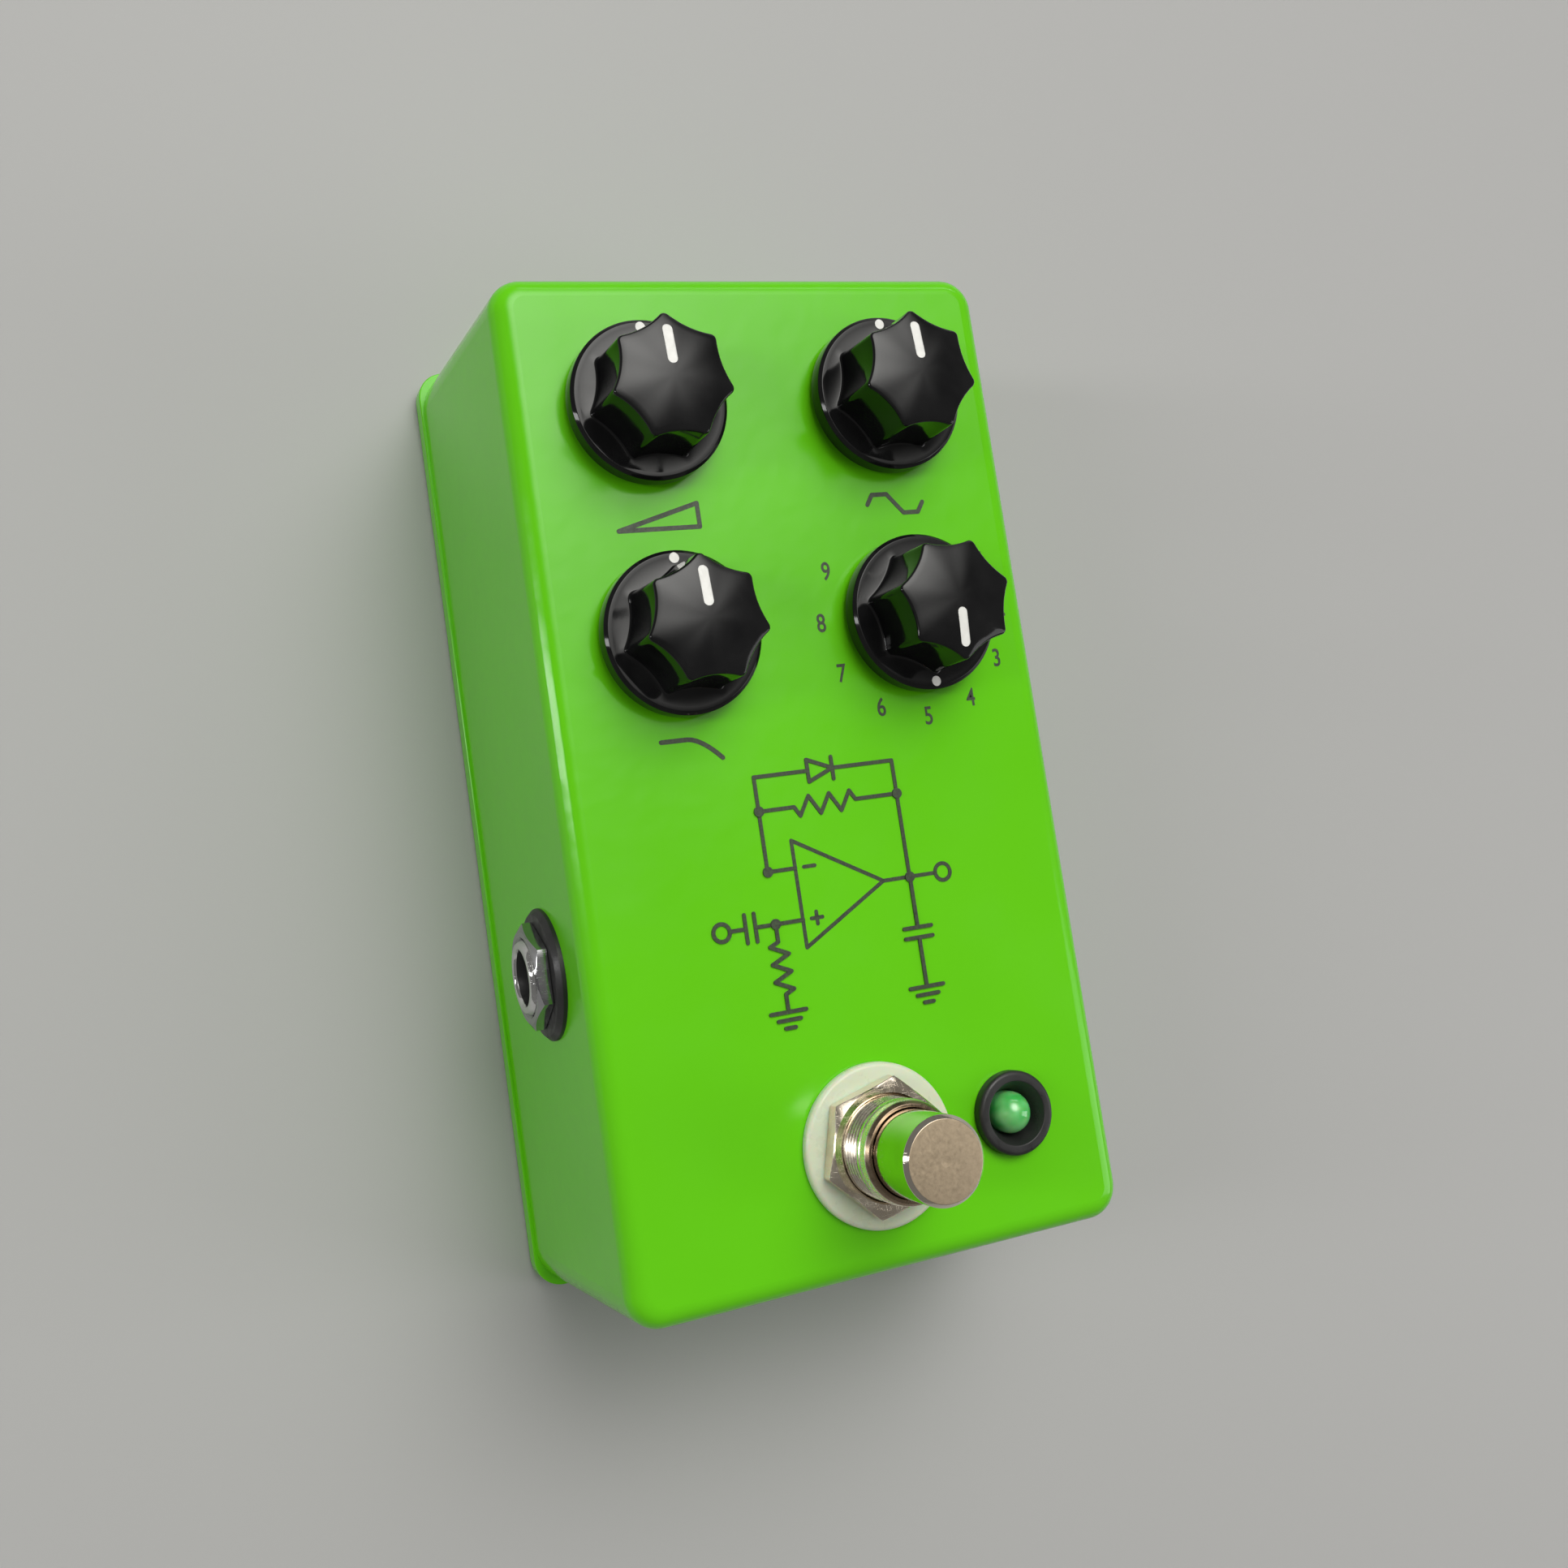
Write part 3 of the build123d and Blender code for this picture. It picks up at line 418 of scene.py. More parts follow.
slots = {
    "green_paint": paint("green_gloss_paint", (0.128, 0.60, 0.006), (0.115, 0.55, 0.005)),
    "green_paint_lid": paint("green_gloss_paint_lid", (0.124, 0.58, 0.006), (0.110, 0.53, 0.005)),
    "zinc_steel": plated("zinc_screws", (0.62, 0.62, 0.60), (0.45, 0.45, 0.44), 0.32, 0.004 * MM),
    "black_gloss": black_plastic(
        "polished_black", (0.004, 0.004, 0.0045), 0.08, 1.8 * MM, 0.004 * MM, shine=0.32,
    ),
    "black_satin": black_plastic("satin_black", (0.014, 0.014, 0.014), 0.42, 0.22 * MM, 0.012 * MM),
    "white_fill": white_fill(),
    "shaft_metal": plated("turned_aluminium", (0.68, 0.68, 0.69), (0.50, 0.50, 0.52), 0.30, 0.004 * MM),
    "inner_plastic": moulded("inner_black_plastic", (0.025, 0.025, 0.027)),
    "pot_shell": moulded("blue_pot_shell", (0.02, 0.07, 0.20)),
    "nickel": plated("nickel_plate", (0.86, 0.78, 0.64), (0.60, 0.50, 0.38), 0.19, 0.003 * MM),
    "button_nickel": plated("polished_nickel", (0.80, 0.74, 0.64), (0.66, 0.59, 0.50), 0.07, 0.0008 * MM),
    "switch_blue": moulded("switch_blue_plastic", (0.01, 0.04, 0.24)),
    "nylon": nylon(),
    "spring_steel": plated("spring_steel", (0.45, 0.45, 0.46), (0.30, 0.30, 0.31), 0.30, 0.002 * MM),
    "tinned": plated("tinned_copper", (0.66, 0.66, 0.64), (0.50, 0.49, 0.45), 0.30, 0.003 * MM),
    "board_green": moulded("solder_mask_green", (0.006, 0.10, 0.03), 0.35),
    "lamp_green": lens(),
    "chrome_bright": plated("bright_chrome", (0.78, 0.78, 0.77), (0.60, 0.60, 0.60), 0.08, 0.003 * MM),
    "chip_black": moulded("epoxy_black", (0.012, 0.012, 0.012), 0.55),
    "film_cap": moulded("film_cap_red", (0.28, 0.03, 0.015)),
    "can_black": moulded("can_sleeve_black", (0.012, 0.012, 0.02), 0.3),
    "resistor_blue": moulded("resistor_lacquer_blue", (0.07, 0.20, 0.30), 0.35),
    "diode_glass": moulded("diode_glass_orange", (0.50, 0.12, 0.03), 0.15),
    "wire_sleeve": moulded("wire_sleeve_black", (0.012, 0.012, 0.012), 0.5),
}

# Finishes that only a few visual pieces use
button_top = Surface("satin_nickel_top", (0.66, 0.53, 0.37), 0.40, 1.0)
button_top.mottle(button_top.noise(0.5 * MM, 6.0, 0.7), (0.52, 0.41, 0.28), 0.9)
button_top.uneven(button_top.noise(0.35 * MM, 4.0), 0.05)
button_top.relief(button_top.noise(0.16 * MM, 3.0), 0.002 * MM)
button_top.scratches(6.0 * MM, (1, 16, 1), 0.004 * MM, 0.72)
thread = Surface("thread_painted_groove_shade", (0.90, 0.82, 0.68), 0.28, 1.0)
# The thread's grooves darken towards their roots: painted shade.
thread.grime(
    centre_of("footswitch_bushing"), SWITCH_THREAD_RADIUS, SWITCH_THREAD_DEPTH, (0.22, 0.15, 0.09),
)
thread.uneven(thread.noise(0.6 * MM, 3.0), 0.08)
thread.relief(thread.noise(0.3 * MM, 2.0), 0.004 * MM)
# Bright chrome darkened all over for the socket nuts: painted shade.
chrome_painted_shade = plated("chrome_painted_shade", (0.40, 0.40, 0.41), (0.30, 0.30, 0.31), 0.10, 0.001 * MM)
print_ink = ink()

for row in frame["record"]["subparts"]:
    carried = nodes[row["node"]].data
    carried.materials.clear()
    carried.materials.append(slots[row["material_slot"]])


def finished(obj, slot, body, *replaced):
    """Rides a new piece on its body and hides the CAD nodes it stands for; its slot is not used."""
    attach(obj, body)
    if replaced:
        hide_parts(*replaced)
    return obj


# ---------------------------------------------------------------- knobs

POINTS = 7
SECTOR = math.tau / POINTS
TIP_ROUND = 0.7 * MM
TIP_RADIUS_TOP = 7.55 * MM
TIP_RADIUS_FOOT = 7.75 * MM
FLANK_DEPTH = 1.35 * MM
TIP_STEPS = 5
FLANK_STEPS = 10
GRIP_EDGE = 0.28 * MM
ROOT_EDGE = 0.25 * MM
SKIRT_HEIGHT = 2.4 * MM
DOME_RISE = 0.8 * MM
HOLLOW = 0.10 * MM
LINE_INNER = 1.25 * MM
LINE_OUTER = 5.85 * MM
LINE_WIDTH = 1.2 * MM
DOT_DISTANCE = 8.55 * MM
DOT_RADIUS = 0.62 * MM
FILL_RECESS = 0.05 * MM
GROOVE_DEPTH = 0.3 * MM
ABOVE_THE_TOP = 2 * MM
UNDERSIDE_RADIUS = 6.3 * MM
UNDERSIDE_HEIGHT = 1.9 * MM
SHAFT_BORE = 3.02 * MM
SHAFT_ROOM = 0.05 * MM
SKIRT_FOOT_ROUND = 0.25 * MM
SKIRT_BEVEL_WIDTH = 0.4 * MM
SKIRT_BEVEL_HEIGHT = 0.35 * MM
SKIRT_BEVEL_ROUND = 0.15 * MM
SKIRT_TOP_ROUND = 0.18 * MM
SKIRT_SHELF = 0.9 * MM


def star_outline(tip_radius):
    """Points round the grip: hollow flank arcs that meet in small round tips, one tip at +Y."""
    valley = tip_radius - FLANK_DEPTH
    half = SECTOR / 2
    chord = tip_radius * math.sin(half)
    sag = tip_radius * math.cos(half) - valley
    flank = (chord**2 + sag**2) / (2 * sag)
    reach = valley + flank
    tip_centre = reach * math.cos(half) - math.sqrt((flank + TIP_ROUND)**2 - (reach * math.sin(half))**2)
    flank_centre = Vector((reach * math.cos(half), reach * math.sin(half)))
    touch = Vector((tip_centre, 0)).lerp(flank_centre, TIP_ROUND / (flank + TIP_ROUND))
    touch_angle = math.atan2(touch.y, touch.x)
    half_sector = []
    for step in range(TIP_STEPS):
        angle = touch_angle * step / TIP_STEPS
        across = tip_centre * math.sin(angle)
        half_sector.append((angle, tip_centre * math.cos(angle) + math.sqrt(TIP_ROUND**2 - across**2)))
    for step in range(FLANK_STEPS + 1):
        angle = touch_angle + (half - touch_angle) * step / FLANK_STEPS
        off_valley = half - angle
        across = reach * math.sin(off_valley)
        half_sector.append((angle, reach * math.cos(off_valley) - math.sqrt(flank**2 - across**2)))
    sector = half_sector + [(SECTOR - angle, r) for angle, r in reversed(half_sector[1:-1])]
    outline = []
    for point in range(POINTS):
        for angle, r in sector:
            turn = math.pi / 2 + point * SECTOR + angle
            outline.append(Vector((r * math.cos(turn), r * math.sin(turn))))
    return outline


def inset(outline, distance):
    """The outline moved inwards by a distance along its own normals."""
    count = len(outline)
    moved = []
    for i, point in enumerate(outline):
        along = (outline[(i + 1) % count] - outline[i - 1]).normalized()
        moved.append(point + Vector((-along.y, along.x)) * distance)
    return moved


def dome(point, rim_z):
    """The level of the domed top at a point, with shallow hollows between ridges to the tips."""
    out = min(1.0, point.length / TIP_RADIUS_TOP)
    ridge = math.cos(POINTS * (math.atan2(point.y, point.x) - math.pi / 2))
    return rim_z + DOME_RISE * (1 - out**2) - HOLLOW * out**2 * (1 - ridge) / 2


def stadium(length, width, steps=12):
    """Points round a slot along +Y, centred on the origin."""
    points = []
    for end in (1, -1):
        for step in range(steps + 1):
            angle = math.pi * step / steps + (0 if end > 0 else math.pi)
            points.append(Vector((
                width / 2 * math.cos(angle),
                end * (length - width) / 2 + width / 2 * math.sin(angle),
            )))
    return points


def prism(name, outline, low, high, matrix, materials):
    """An upright prism between two level functions of a point."""
    bm = bmesh.new()
    bottom = [bm.verts.new((p.x, p.y, low(p))) for p in outline]
    top = [bm.verts.new((p.x, p.y, high(p))) for p in outline]
    bm.faces.new(bottom[::-1])
    bm.faces.new(top)
    for i in range(len(outline)):
        j = (i + 1) % len(outline)
        bm.faces.new((bottom[i], bottom[j], top[j], top[i]))
    bm.transform(matrix)
    return new_object(name, bm, materials)


def knob(control):
    """One knob with its skirt, grip, groove and white fill."""
    low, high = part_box(f"{control}_knob")
    centre = (low + high) / 2
    turn = math.pi if control == "mode" else 0.0
    matrix = placed(Vector((centre.x, centre.y, 0)), UP, turn)
    body = f"{control}_control"
    skirt = (high.x - low.x) / 2
    skirt_low, skirt_high = low.z, low.z + SKIRT_HEIGHT
    rim_z = high.z - DOME_RISE
    outline = star_outline(TIP_RADIUS_TOP)
    foot = star_outline(TIP_RADIUS_FOOT)
    angles = [math.atan2(p.y, p.x) for p in outline]

    def level_circle(radius, z):
        """A ring at the outline's own angles."""
        return [(radius * math.cos(a), radius * math.sin(a), z) for a in angles]

    bore_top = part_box(f"{control}_shaft")[1].z + SHAFT_ROOM
    underside_top = skirt_low + UNDERSIDE_HEIGHT
    skirt_profile = rounded([
        (0, bore_top, 0),
        (SHAFT_BORE, bore_top, 0),
        (SHAFT_BORE, underside_top, 0),
        (UNDERSIDE_RADIUS, underside_top, 0),
        (UNDERSIDE_RADIUS, skirt_low, 0),
        (skirt, skirt_low, SKIRT_FOOT_ROUND),
        (skirt, skirt_high - SKIRT_BEVEL_HEIGHT, SKIRT_BEVEL_ROUND),
        (skirt - SKIRT_BEVEL_WIDTH, skirt_high, SKIRT_TOP_ROUND),
        (skirt - SKIRT_SHELF, skirt_high, 0),
    ], cyclic=False, steps=4)
    rings = [level_circle(r, z) for r, z in skirt_profile]
    # The round fillet where the grip meets the skirt, its flanks, its rounded rim and its domed top
    for share in (0.0, 0.35, 0.7, 1.0):
        swing = share * math.pi / 2
        out = ROOT_EDGE * (1 - math.sin(swing))
        rise = ROOT_EDGE * (1 - math.cos(swing))
        rings.append([(*p, skirt_high + rise) for p in inset(foot, -out)])
    for share in (0.25, 0.5, 0.75):
        z = skirt_high + ROOT_EDGE + (rim_z - GRIP_EDGE - skirt_high - ROOT_EDGE) * share
        rings.append([(*a.lerp(b, share), z) for a, b in zip(foot, outline)])
    for step in range(6):
        swing = math.pi / 2 * step / 5
        in_by = GRIP_EDGE * (1 - math.cos(swing))
        drop = GRIP_EDGE * (1 - math.sin(swing))
        rings.append([(*p, dome(p, rim_z) - drop) for p in inset(outline, in_by)])
    rim = inset(outline, GRIP_EDGE)
    for share in (0.9, 0.78, 0.64, 0.5, 0.36, 0.22, 0.1, 0.0):
        rings.append([(*(p * share), dome(p * share, rim_z)) for p in rim])
    obj = ring_piece(f"{control}_knob_shape", rings, matrix, [slots["black_gloss"]], cyclic=False)

    line_middle = Vector((0, (LINE_INNER + LINE_OUTER) / 2))
    line = [p + line_middle for p in stadium(LINE_OUTER - LINE_INNER, LINE_WIDTH)]
    dot = [Vector((x, y + DOT_DISTANCE)) for x, y, _ in circle_ring(DOT_RADIUS, 0, 32)]

    def top_less(depth):
        """The domed level, less a depth."""
        return lambda p: dome(p, rim_z) - depth

    def skirt_top_less(depth):
        """The skirt's level top, less a depth."""
        return lambda p: skirt_high - depth

    def over(level):
        """A level well above another."""
        return lambda p: level + ABOVE_THE_TOP

    cut(obj, prism("cutter", line, top_less(GROOVE_DEPTH), over(rim_z), matrix, []))
    cut(obj, prism("cutter", dot, skirt_top_less(GROOVE_DEPTH), over(skirt_high), matrix, []))
    finished(obj, "black_gloss", body, f"{control}_knob")

    fill = prism(
        f"{control}_pointer_fill", line, top_less(GROOVE_DEPTH), top_less(FILL_RECESS),
        matrix, [slots["white_fill"]],
    )
    finished(fill, "white_fill", body, f"{control}_pointer")
    spot = prism(
        f"{control}_skirt_dot", dot, skirt_top_less(GROOVE_DEPTH), skirt_top_less(FILL_RECESS),
        matrix, [slots["white_fill"]],
    )
    finished(spot, "white_fill", body)


for control in CONTROLS:
    knob(control)

# ---------------------------------------------------------------- foot switch

NUT_FLAT = Vector((math.cos(math.radians(45)), math.sin(math.radians(45)), 0))
switch_low, switch_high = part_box("footswitch_bushing")
switch_at = (switch_low + switch_high) / 2
switch_place = placed(Vector((switch_at.x, switch_at.y, 0)))
WASHER_BORE = 5.95 * MM
SWITCH_NUT_SIZE = 14 * MM
SWITCH_NUT_BORE = 5.9 * MM
SWITCH_THREAD_PITCH = 0.68 * MM
SWITCH_BORE = 4.95 * MM
SWITCH_FLANGE_HEIGHT = 0.6 * MM
COLLAR_HEIGHT = 1.7 * MM
COLLAR_STEP = 0.12 * MM
BUTTON_RADIUS = 4.87 * MM
STEM_RADIUS = 3.2 * MM
STEM_LENGTH = 3.5 * MM
STOP_HEIGHT = 1.2 * MM
DIMPLE_DEPTH = 0.03 * MM
TOP_DEPTH = 0.07 * MM


def footswitch():
    """Nylon washer, hex nut, threaded bushing and plunger."""
    low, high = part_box("footswitch_washer")
    outer = (high.x - low.x) / 2
    profile = rounded([
        (WASHER_BORE, low.z, 0),
        (outer, low.z, 0.2 * MM),
        (outer, high.z, 0.55 * MM),
        (WASHER_BORE, high.z, 0.1 * MM),
    ])
    washer = lathe("footswitch_washer_shape", profile, switch_place, [slots["nylon"]])
    finished(washer, "nylon", CHASSIS, "footswitch_washer")

    low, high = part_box("footswitch_nut")
    nut = hex_nut(
        "footswitch_nut_shape", SWITCH_NUT_SIZE, SWITCH_NUT_BORE, low.z, high.z,
        switch_place @ turned_to(switch_place, NUT_FLAT), [slots["nickel"]],
    )
    finished(nut, "nickel", CHASSIS, "footswitch_nut")

    low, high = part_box("footswitch_bushing")
    flange = (high.x - low.x) / 2
    flange_top = low.z + SWITCH_FLANGE_HEIGHT
    thread_top = high.z - COLLAR_HEIGHT
    collar = SWITCH_THREAD_RADIUS - COLLAR_STEP
    threads = thread_rings(
        SWITCH_THREAD_RADIUS, SWITCH_THREAD_DEPTH, SWITCH_THREAD_PITCH,
        flange_top + 0.1 * MM, thread_top,
    )
    rings = [circle_ring(SWITCH_BORE, low.z), circle_ring(flange, low.z)]
    rings += [circle_ring(flange, flange_top), circle_ring(SWITCH_THREAD_RADIUS, flange_top)]
    rings += threads
    tip = rounded([
        (SWITCH_THREAD_RADIUS, thread_top, 0),
        (collar, thread_top + 0.15 * MM, 0.05 * MM),
        (collar, high.z - 0.5 * MM, 0.1 * MM),
        (SWITCH_THREAD_RADIUS - 0.5 * MM, high.z, 0.15 * MM),
        (SWITCH_BORE, high.z, 0.12 * MM),
        (SWITCH_BORE, high.z - 1 * MM, 0),
    ], cyclic=False)
    rings += [circle_ring(r, z) for r, z in tip[1:]]
    bushing = ring_piece(
        "footswitch_bushing_shape", rings, switch_place, [thread.material], sharp_degrees=50,
    )
    finished(bushing, "nickel", CHASSIS, "footswitch_bushing")

    low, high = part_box("footswitch_button")
    stop = (high.x - low.x) / 2
    stop_low = low.z + STEM_LENGTH
    stop_high = stop_low + STOP_HEIGHT
    profile = rounded([
        (0, low.z, 0),
        (STEM_RADIUS, low.z, 0),
        (STEM_RADIUS, stop_low, 0),
        (stop, stop_low, 0),
        (stop, stop_high, 0),
        (BUTTON_RADIUS, stop_high, 0),
        (BUTTON_RADIUS, high.z - 0.5 * MM, 0.15 * MM),
        (BUTTON_RADIUS - 0.45 * MM, high.z, 0.12 * MM),
        (0.6 * MM, high.z, 0.2 * MM),
        (0.2 * MM, high.z - DIMPLE_DEPTH, 0),
        (0, high.z - DIMPLE_DEPTH, 0),
    ], cyclic=False)
    button = lathe(
        "footswitch_button_shape", profile, switch_place,
        [slots["button_nickel"], button_top.material], cyclic=False,
    )
    for polygon in button.data.polygons:
        if polygon.center.z > high.z - TOP_DEPTH and polygon.normal.z > 0.9:
            polygon.material_index = 1
    finished(button, "button_nickel", "footswitch_plunger", "footswitch_button")


footswitch()

# ---------------------------------------------------------------- lamp


BARREL_RADIUS = 3.95 * MM
CUP_RADIUS = 3.75 * MM
CUP_DEPTH = 2.4 * MM
LENS_BORE = 2.6 * MM
FLANGE_ROOM = 0.4 * MM
SEAT_HEIGHT = 1.2 * MM
LENS_RADIUS = 2.5 * MM
LENS_FLANGE_HEIGHT = 1 * MM
LENS_STEPS = 12


def lamp():
    """Holder with a conical cup, and the lens standing in it."""
    low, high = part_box("led_bezel")
    lens_low, lens_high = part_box("led_lamp")
    place = placed(Vector((centre_of("led_bezel").x, centre_of("led_bezel").y, 0)))
    ring = (high.x - low.x) / 2
    seat = lens_low.z + SEAT_HEIGHT
    profile = rounded([
        (LENS_BORE + FLANGE_ROOM, low.z, 0),
        (BARREL_RADIUS, low.z, 0.2 * MM),
        (BARREL_RADIUS, face_z, 0),
        (ring, face_z, 0.1 * MM),
        (ring, high.z, 0.5 * MM),
        (CUP_RADIUS, high.z, 0.15 * MM),
        (LENS_BORE, high.z - CUP_DEPTH, 0.1 * MM),
        (LENS_BORE, seat, 0),
        (LENS_BORE + FLANGE_ROOM, seat, 0),
    ])
    holder = lathe("led_bezel_shape", profile, place, [slots["black_satin"]])
    finished(holder, "black_satin", CHASSIS, "led_bezel")

    flange = (lens_high.x - lens_low.x) / 2
    flange_top = lens_low.z + LENS_FLANGE_HEIGHT
    profile = [(0, lens_low.z), (flange, lens_low.z), (flange, flange_top), (LENS_RADIUS, flange_top)]
    for step in range(LENS_STEPS + 1):
        swing = math.pi / 2 * step / LENS_STEPS
        level = lens_high.z - LENS_RADIUS + LENS_RADIUS * math.sin(swing)
        profile.append((LENS_RADIUS * math.cos(swing), level))
    glass = lathe("led_lamp_shape", profile, place, [slots["lamp_green"]], cyclic=False, steps=64)
    finished(glass, "lamp_green", CHASSIS, "led_lamp")


lamp()

# ---------------------------------------------------------------- sockets


PANEL_BORE = 4.55 * MM
PANEL_WASHER_BEVEL = 0.6 * MM
SOCKET_NUT_SIZE = 11 * MM
SOCKET_NUT_BORE = 4.5 * MM
SOCKET_THREAD_RADIUS = 4.45 * MM
SOCKET_THREAD_DEPTH = 0.22 * MM
SOCKET_THREAD_PITCH = 0.75 * MM
PLUG_BORE = 3.22 * MM
BORE_PLAY = 0.02 * MM
POWER_NUT_SIZE = 14 * MM
POWER_NUT_BORE = 5.9 * MM


def side_socket(which, side):
    """Washer, nut and ferrule of one quarter-inch socket, built outwards along the wall's axis."""
    axis = Vector((side, 0, 0))
    middle = centre_of(f"{which}_jack_nut")
    place = placed(Vector((0, middle.y, middle.z)), axis)

    def reach(node):
        """How far out a node starts and ends along the socket's axis."""
        low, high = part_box(node)
        return min(abs(low.x), abs(high.x)), max(abs(low.x), abs(high.x))

    near, far = reach(f"{which}_jack_washer")
    low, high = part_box(f"{which}_jack_washer")
    outer = (high.z - low.z) / 2
    profile = rounded([
        (PANEL_BORE, near, 0),
        (outer, near, 0),
        (outer, far - PANEL_WASHER_BEVEL, 0.15 * MM),
        (outer - PANEL_WASHER_BEVEL, far, 0.15 * MM),
        (PANEL_BORE, far, 0),
    ])
    washer = lathe(f"{which}_jack_washer_shape", profile, place, [slots["black_satin"]])
    finished(washer, "black_satin", CHASSIS, f"{which}_jack_washer")

    near, far = reach(f"{which}_jack_nut")
    nut = hex_nut(
        f"{which}_jack_nut_shape", SOCKET_NUT_SIZE, SOCKET_NUT_BORE, near, far,
        place @ turned_to(place, UP), [chrome_painted_shade],
    )
    finished(nut, "chrome_bright", CHASSIS, f"{which}_jack_nut")

    near, far = reach(f"{which}_jack_bushing")
    rings = [circle_ring(PLUG_BORE, near), circle_ring(SOCKET_THREAD_RADIUS, near)]
    rings += thread_rings(
        SOCKET_THREAD_RADIUS, SOCKET_THREAD_DEPTH, SOCKET_THREAD_PITCH,
        near + 0.1 * MM, far - 0.6 * MM,
    )
    tip = rounded([
        (SOCKET_THREAD_RADIUS, far - 0.5 * MM, 0),
        (SOCKET_THREAD_RADIUS - 0.4 * MM, far, 0.2 * MM),
        (PLUG_BORE + 0.2 * MM, far, 0.15 * MM),
        (PLUG_BORE, far - 0.35 * MM, 0),
    ], cyclic=False)
    rings += [circle_ring(r, z) for r, z in tip]
    ferrule = ring_piece(
        f"{which}_jack_bushing_shape", rings, place, [slots["chrome_bright"], slots["black_satin"]],
        sharp_degrees=50,
    )
    # The faces inside the plug bore take the black satin finish: painted shade in the hole.
    for polygon in ferrule.data.polygons:
        if (polygon.center.yz - middle.yz).length < PLUG_BORE + BORE_PLAY:
            polygon.material_index = 1
    finished(ferrule, "chrome_bright", CHASSIS, f"{which}_jack_bushing")


side_socket("output", -1)
side_socket("input", 1)


def power_nut():
    """The power socket's nut, chamfered, on the far wall."""
    low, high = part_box("dc_jack_nut")
    middle = centre_of("dc_jack_body")
    place = placed(Vector((middle.x, 0, middle.z)), Vector((0, 1, 0)))
    nut = hex_nut(
        "dc_jack_nut_shape", POWER_NUT_SIZE, POWER_NUT_BORE, low.y, high.y,
        place @ turned_to(place, UP), [slots["black_satin"]],
    )
    finished(nut, "black_satin", CHASSIS, "dc_jack_nut")


power_nut()

# ---------------------------------------------------------------- printed face

INK_HEIGHT = 0.03 * MM
LAYER = 0.002 * MM
ART_STROKE = 0.46 * MM
ART_CENTRE = Vector((0.0, -15.0)) * MM
ICON_STROKE = 0.55 * MM
ICON_BELOW = 13.0 * MM
RING_SIDES = 24
DIAL_RADIUS = 12.4 * MM
DIAL_STEP = 30
DIAL_MIDDLE = 5
DIGIT_HEIGHT = 3.1 * MM
DIGIT_NARROWING = 0.8
DIGIT_WEIGHT = 0.04 * MM


class Print:
    """Flat ink strokes and rings on the face, gathered in one mesh."""

    def __init__(self, centre, width):
        self.bm = bmesh.new()
        self.centre = centre
        self.width = width
        self.layers = 0

    def slab(self, outline):
        """A thin slab of ink, a hair higher than the one before so that crossings stay clean."""
        self.layers += 1
        top = face_z + INK_HEIGHT + self.layers * LAYER
        low = [self.bm.verts.new((p.x, p.y, face_z)) for p in outline]
        high = [self.bm.verts.new((p.x, p.y, top)) for p in outline]
        self.bm.faces.new(low[::-1])
        self.bm.faces.new(high)
        for i in range(len(outline)):
            j = (i + 1) % len(outline)
            self.bm.faces.new((low[i], low[j], high[j], high[i]))

    def line(self, *points):
        """Straight strokes between points in millimetres about the centre, with round ends."""
        spots = [self.centre + Vector(p) * MM for p in points]
        for start, end in zip(spots, spots[1:]):
            along = end - start
            turn = math.atan2(along.y, along.x) - math.pi / 2
            pill = stadium(along.length + self.width, self.width, 6)
            spin = Matrix.Rotation(turn, 2)
            self.slab([spin @ p + (start + end) / 2 for p in pill])

    def disc(self, point, radius):
        """A filled dot."""
        middle = self.centre + Vector(point) * MM
        self.slab([middle + Vector((x, y)) for x, y, _ in circle_ring(radius * MM, 0, RING_SIDES)])

    def ring(self, point, radius):
        """An open ring, drawn as short strokes."""
        spots = []
        for i in range(RING_SIDES + 1):
            angle = math.tau * i / RING_SIDES
            spots.append((point[0] + radius * math.cos(angle), point[1] + radius * math.sin(angle)))
        self.line(*spots)

    def done(self, name):
        """The finished print, riding on the chassis."""
        obj = new_object(name, self.bm, [print_ink])
        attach(obj, CHASSIS)
        return obj


def zigzag(start, end, swings=6, height=1.1):
    """Points of a resistor's zigzag between two points."""
    start, end = Vector(start), Vector(end)
    across = Vector((-(end - start).y, (end - start).x)).normalized() * height
    points = [tuple(start)]
    for i in range(swings):
        side = 1 if i % 2 else -1
        points.append(tuple(start.lerp(end, (i + 0.5) / swings) + across * side))
    return points + [tuple(end)]


def ground(art, x, y):
    """Three shortening bars."""
    for drop, half in ((0, 2.2), (0.9, 1.4), (1.8, 0.6)):
        art.line((x - half, y - drop), (x + half, y - drop))


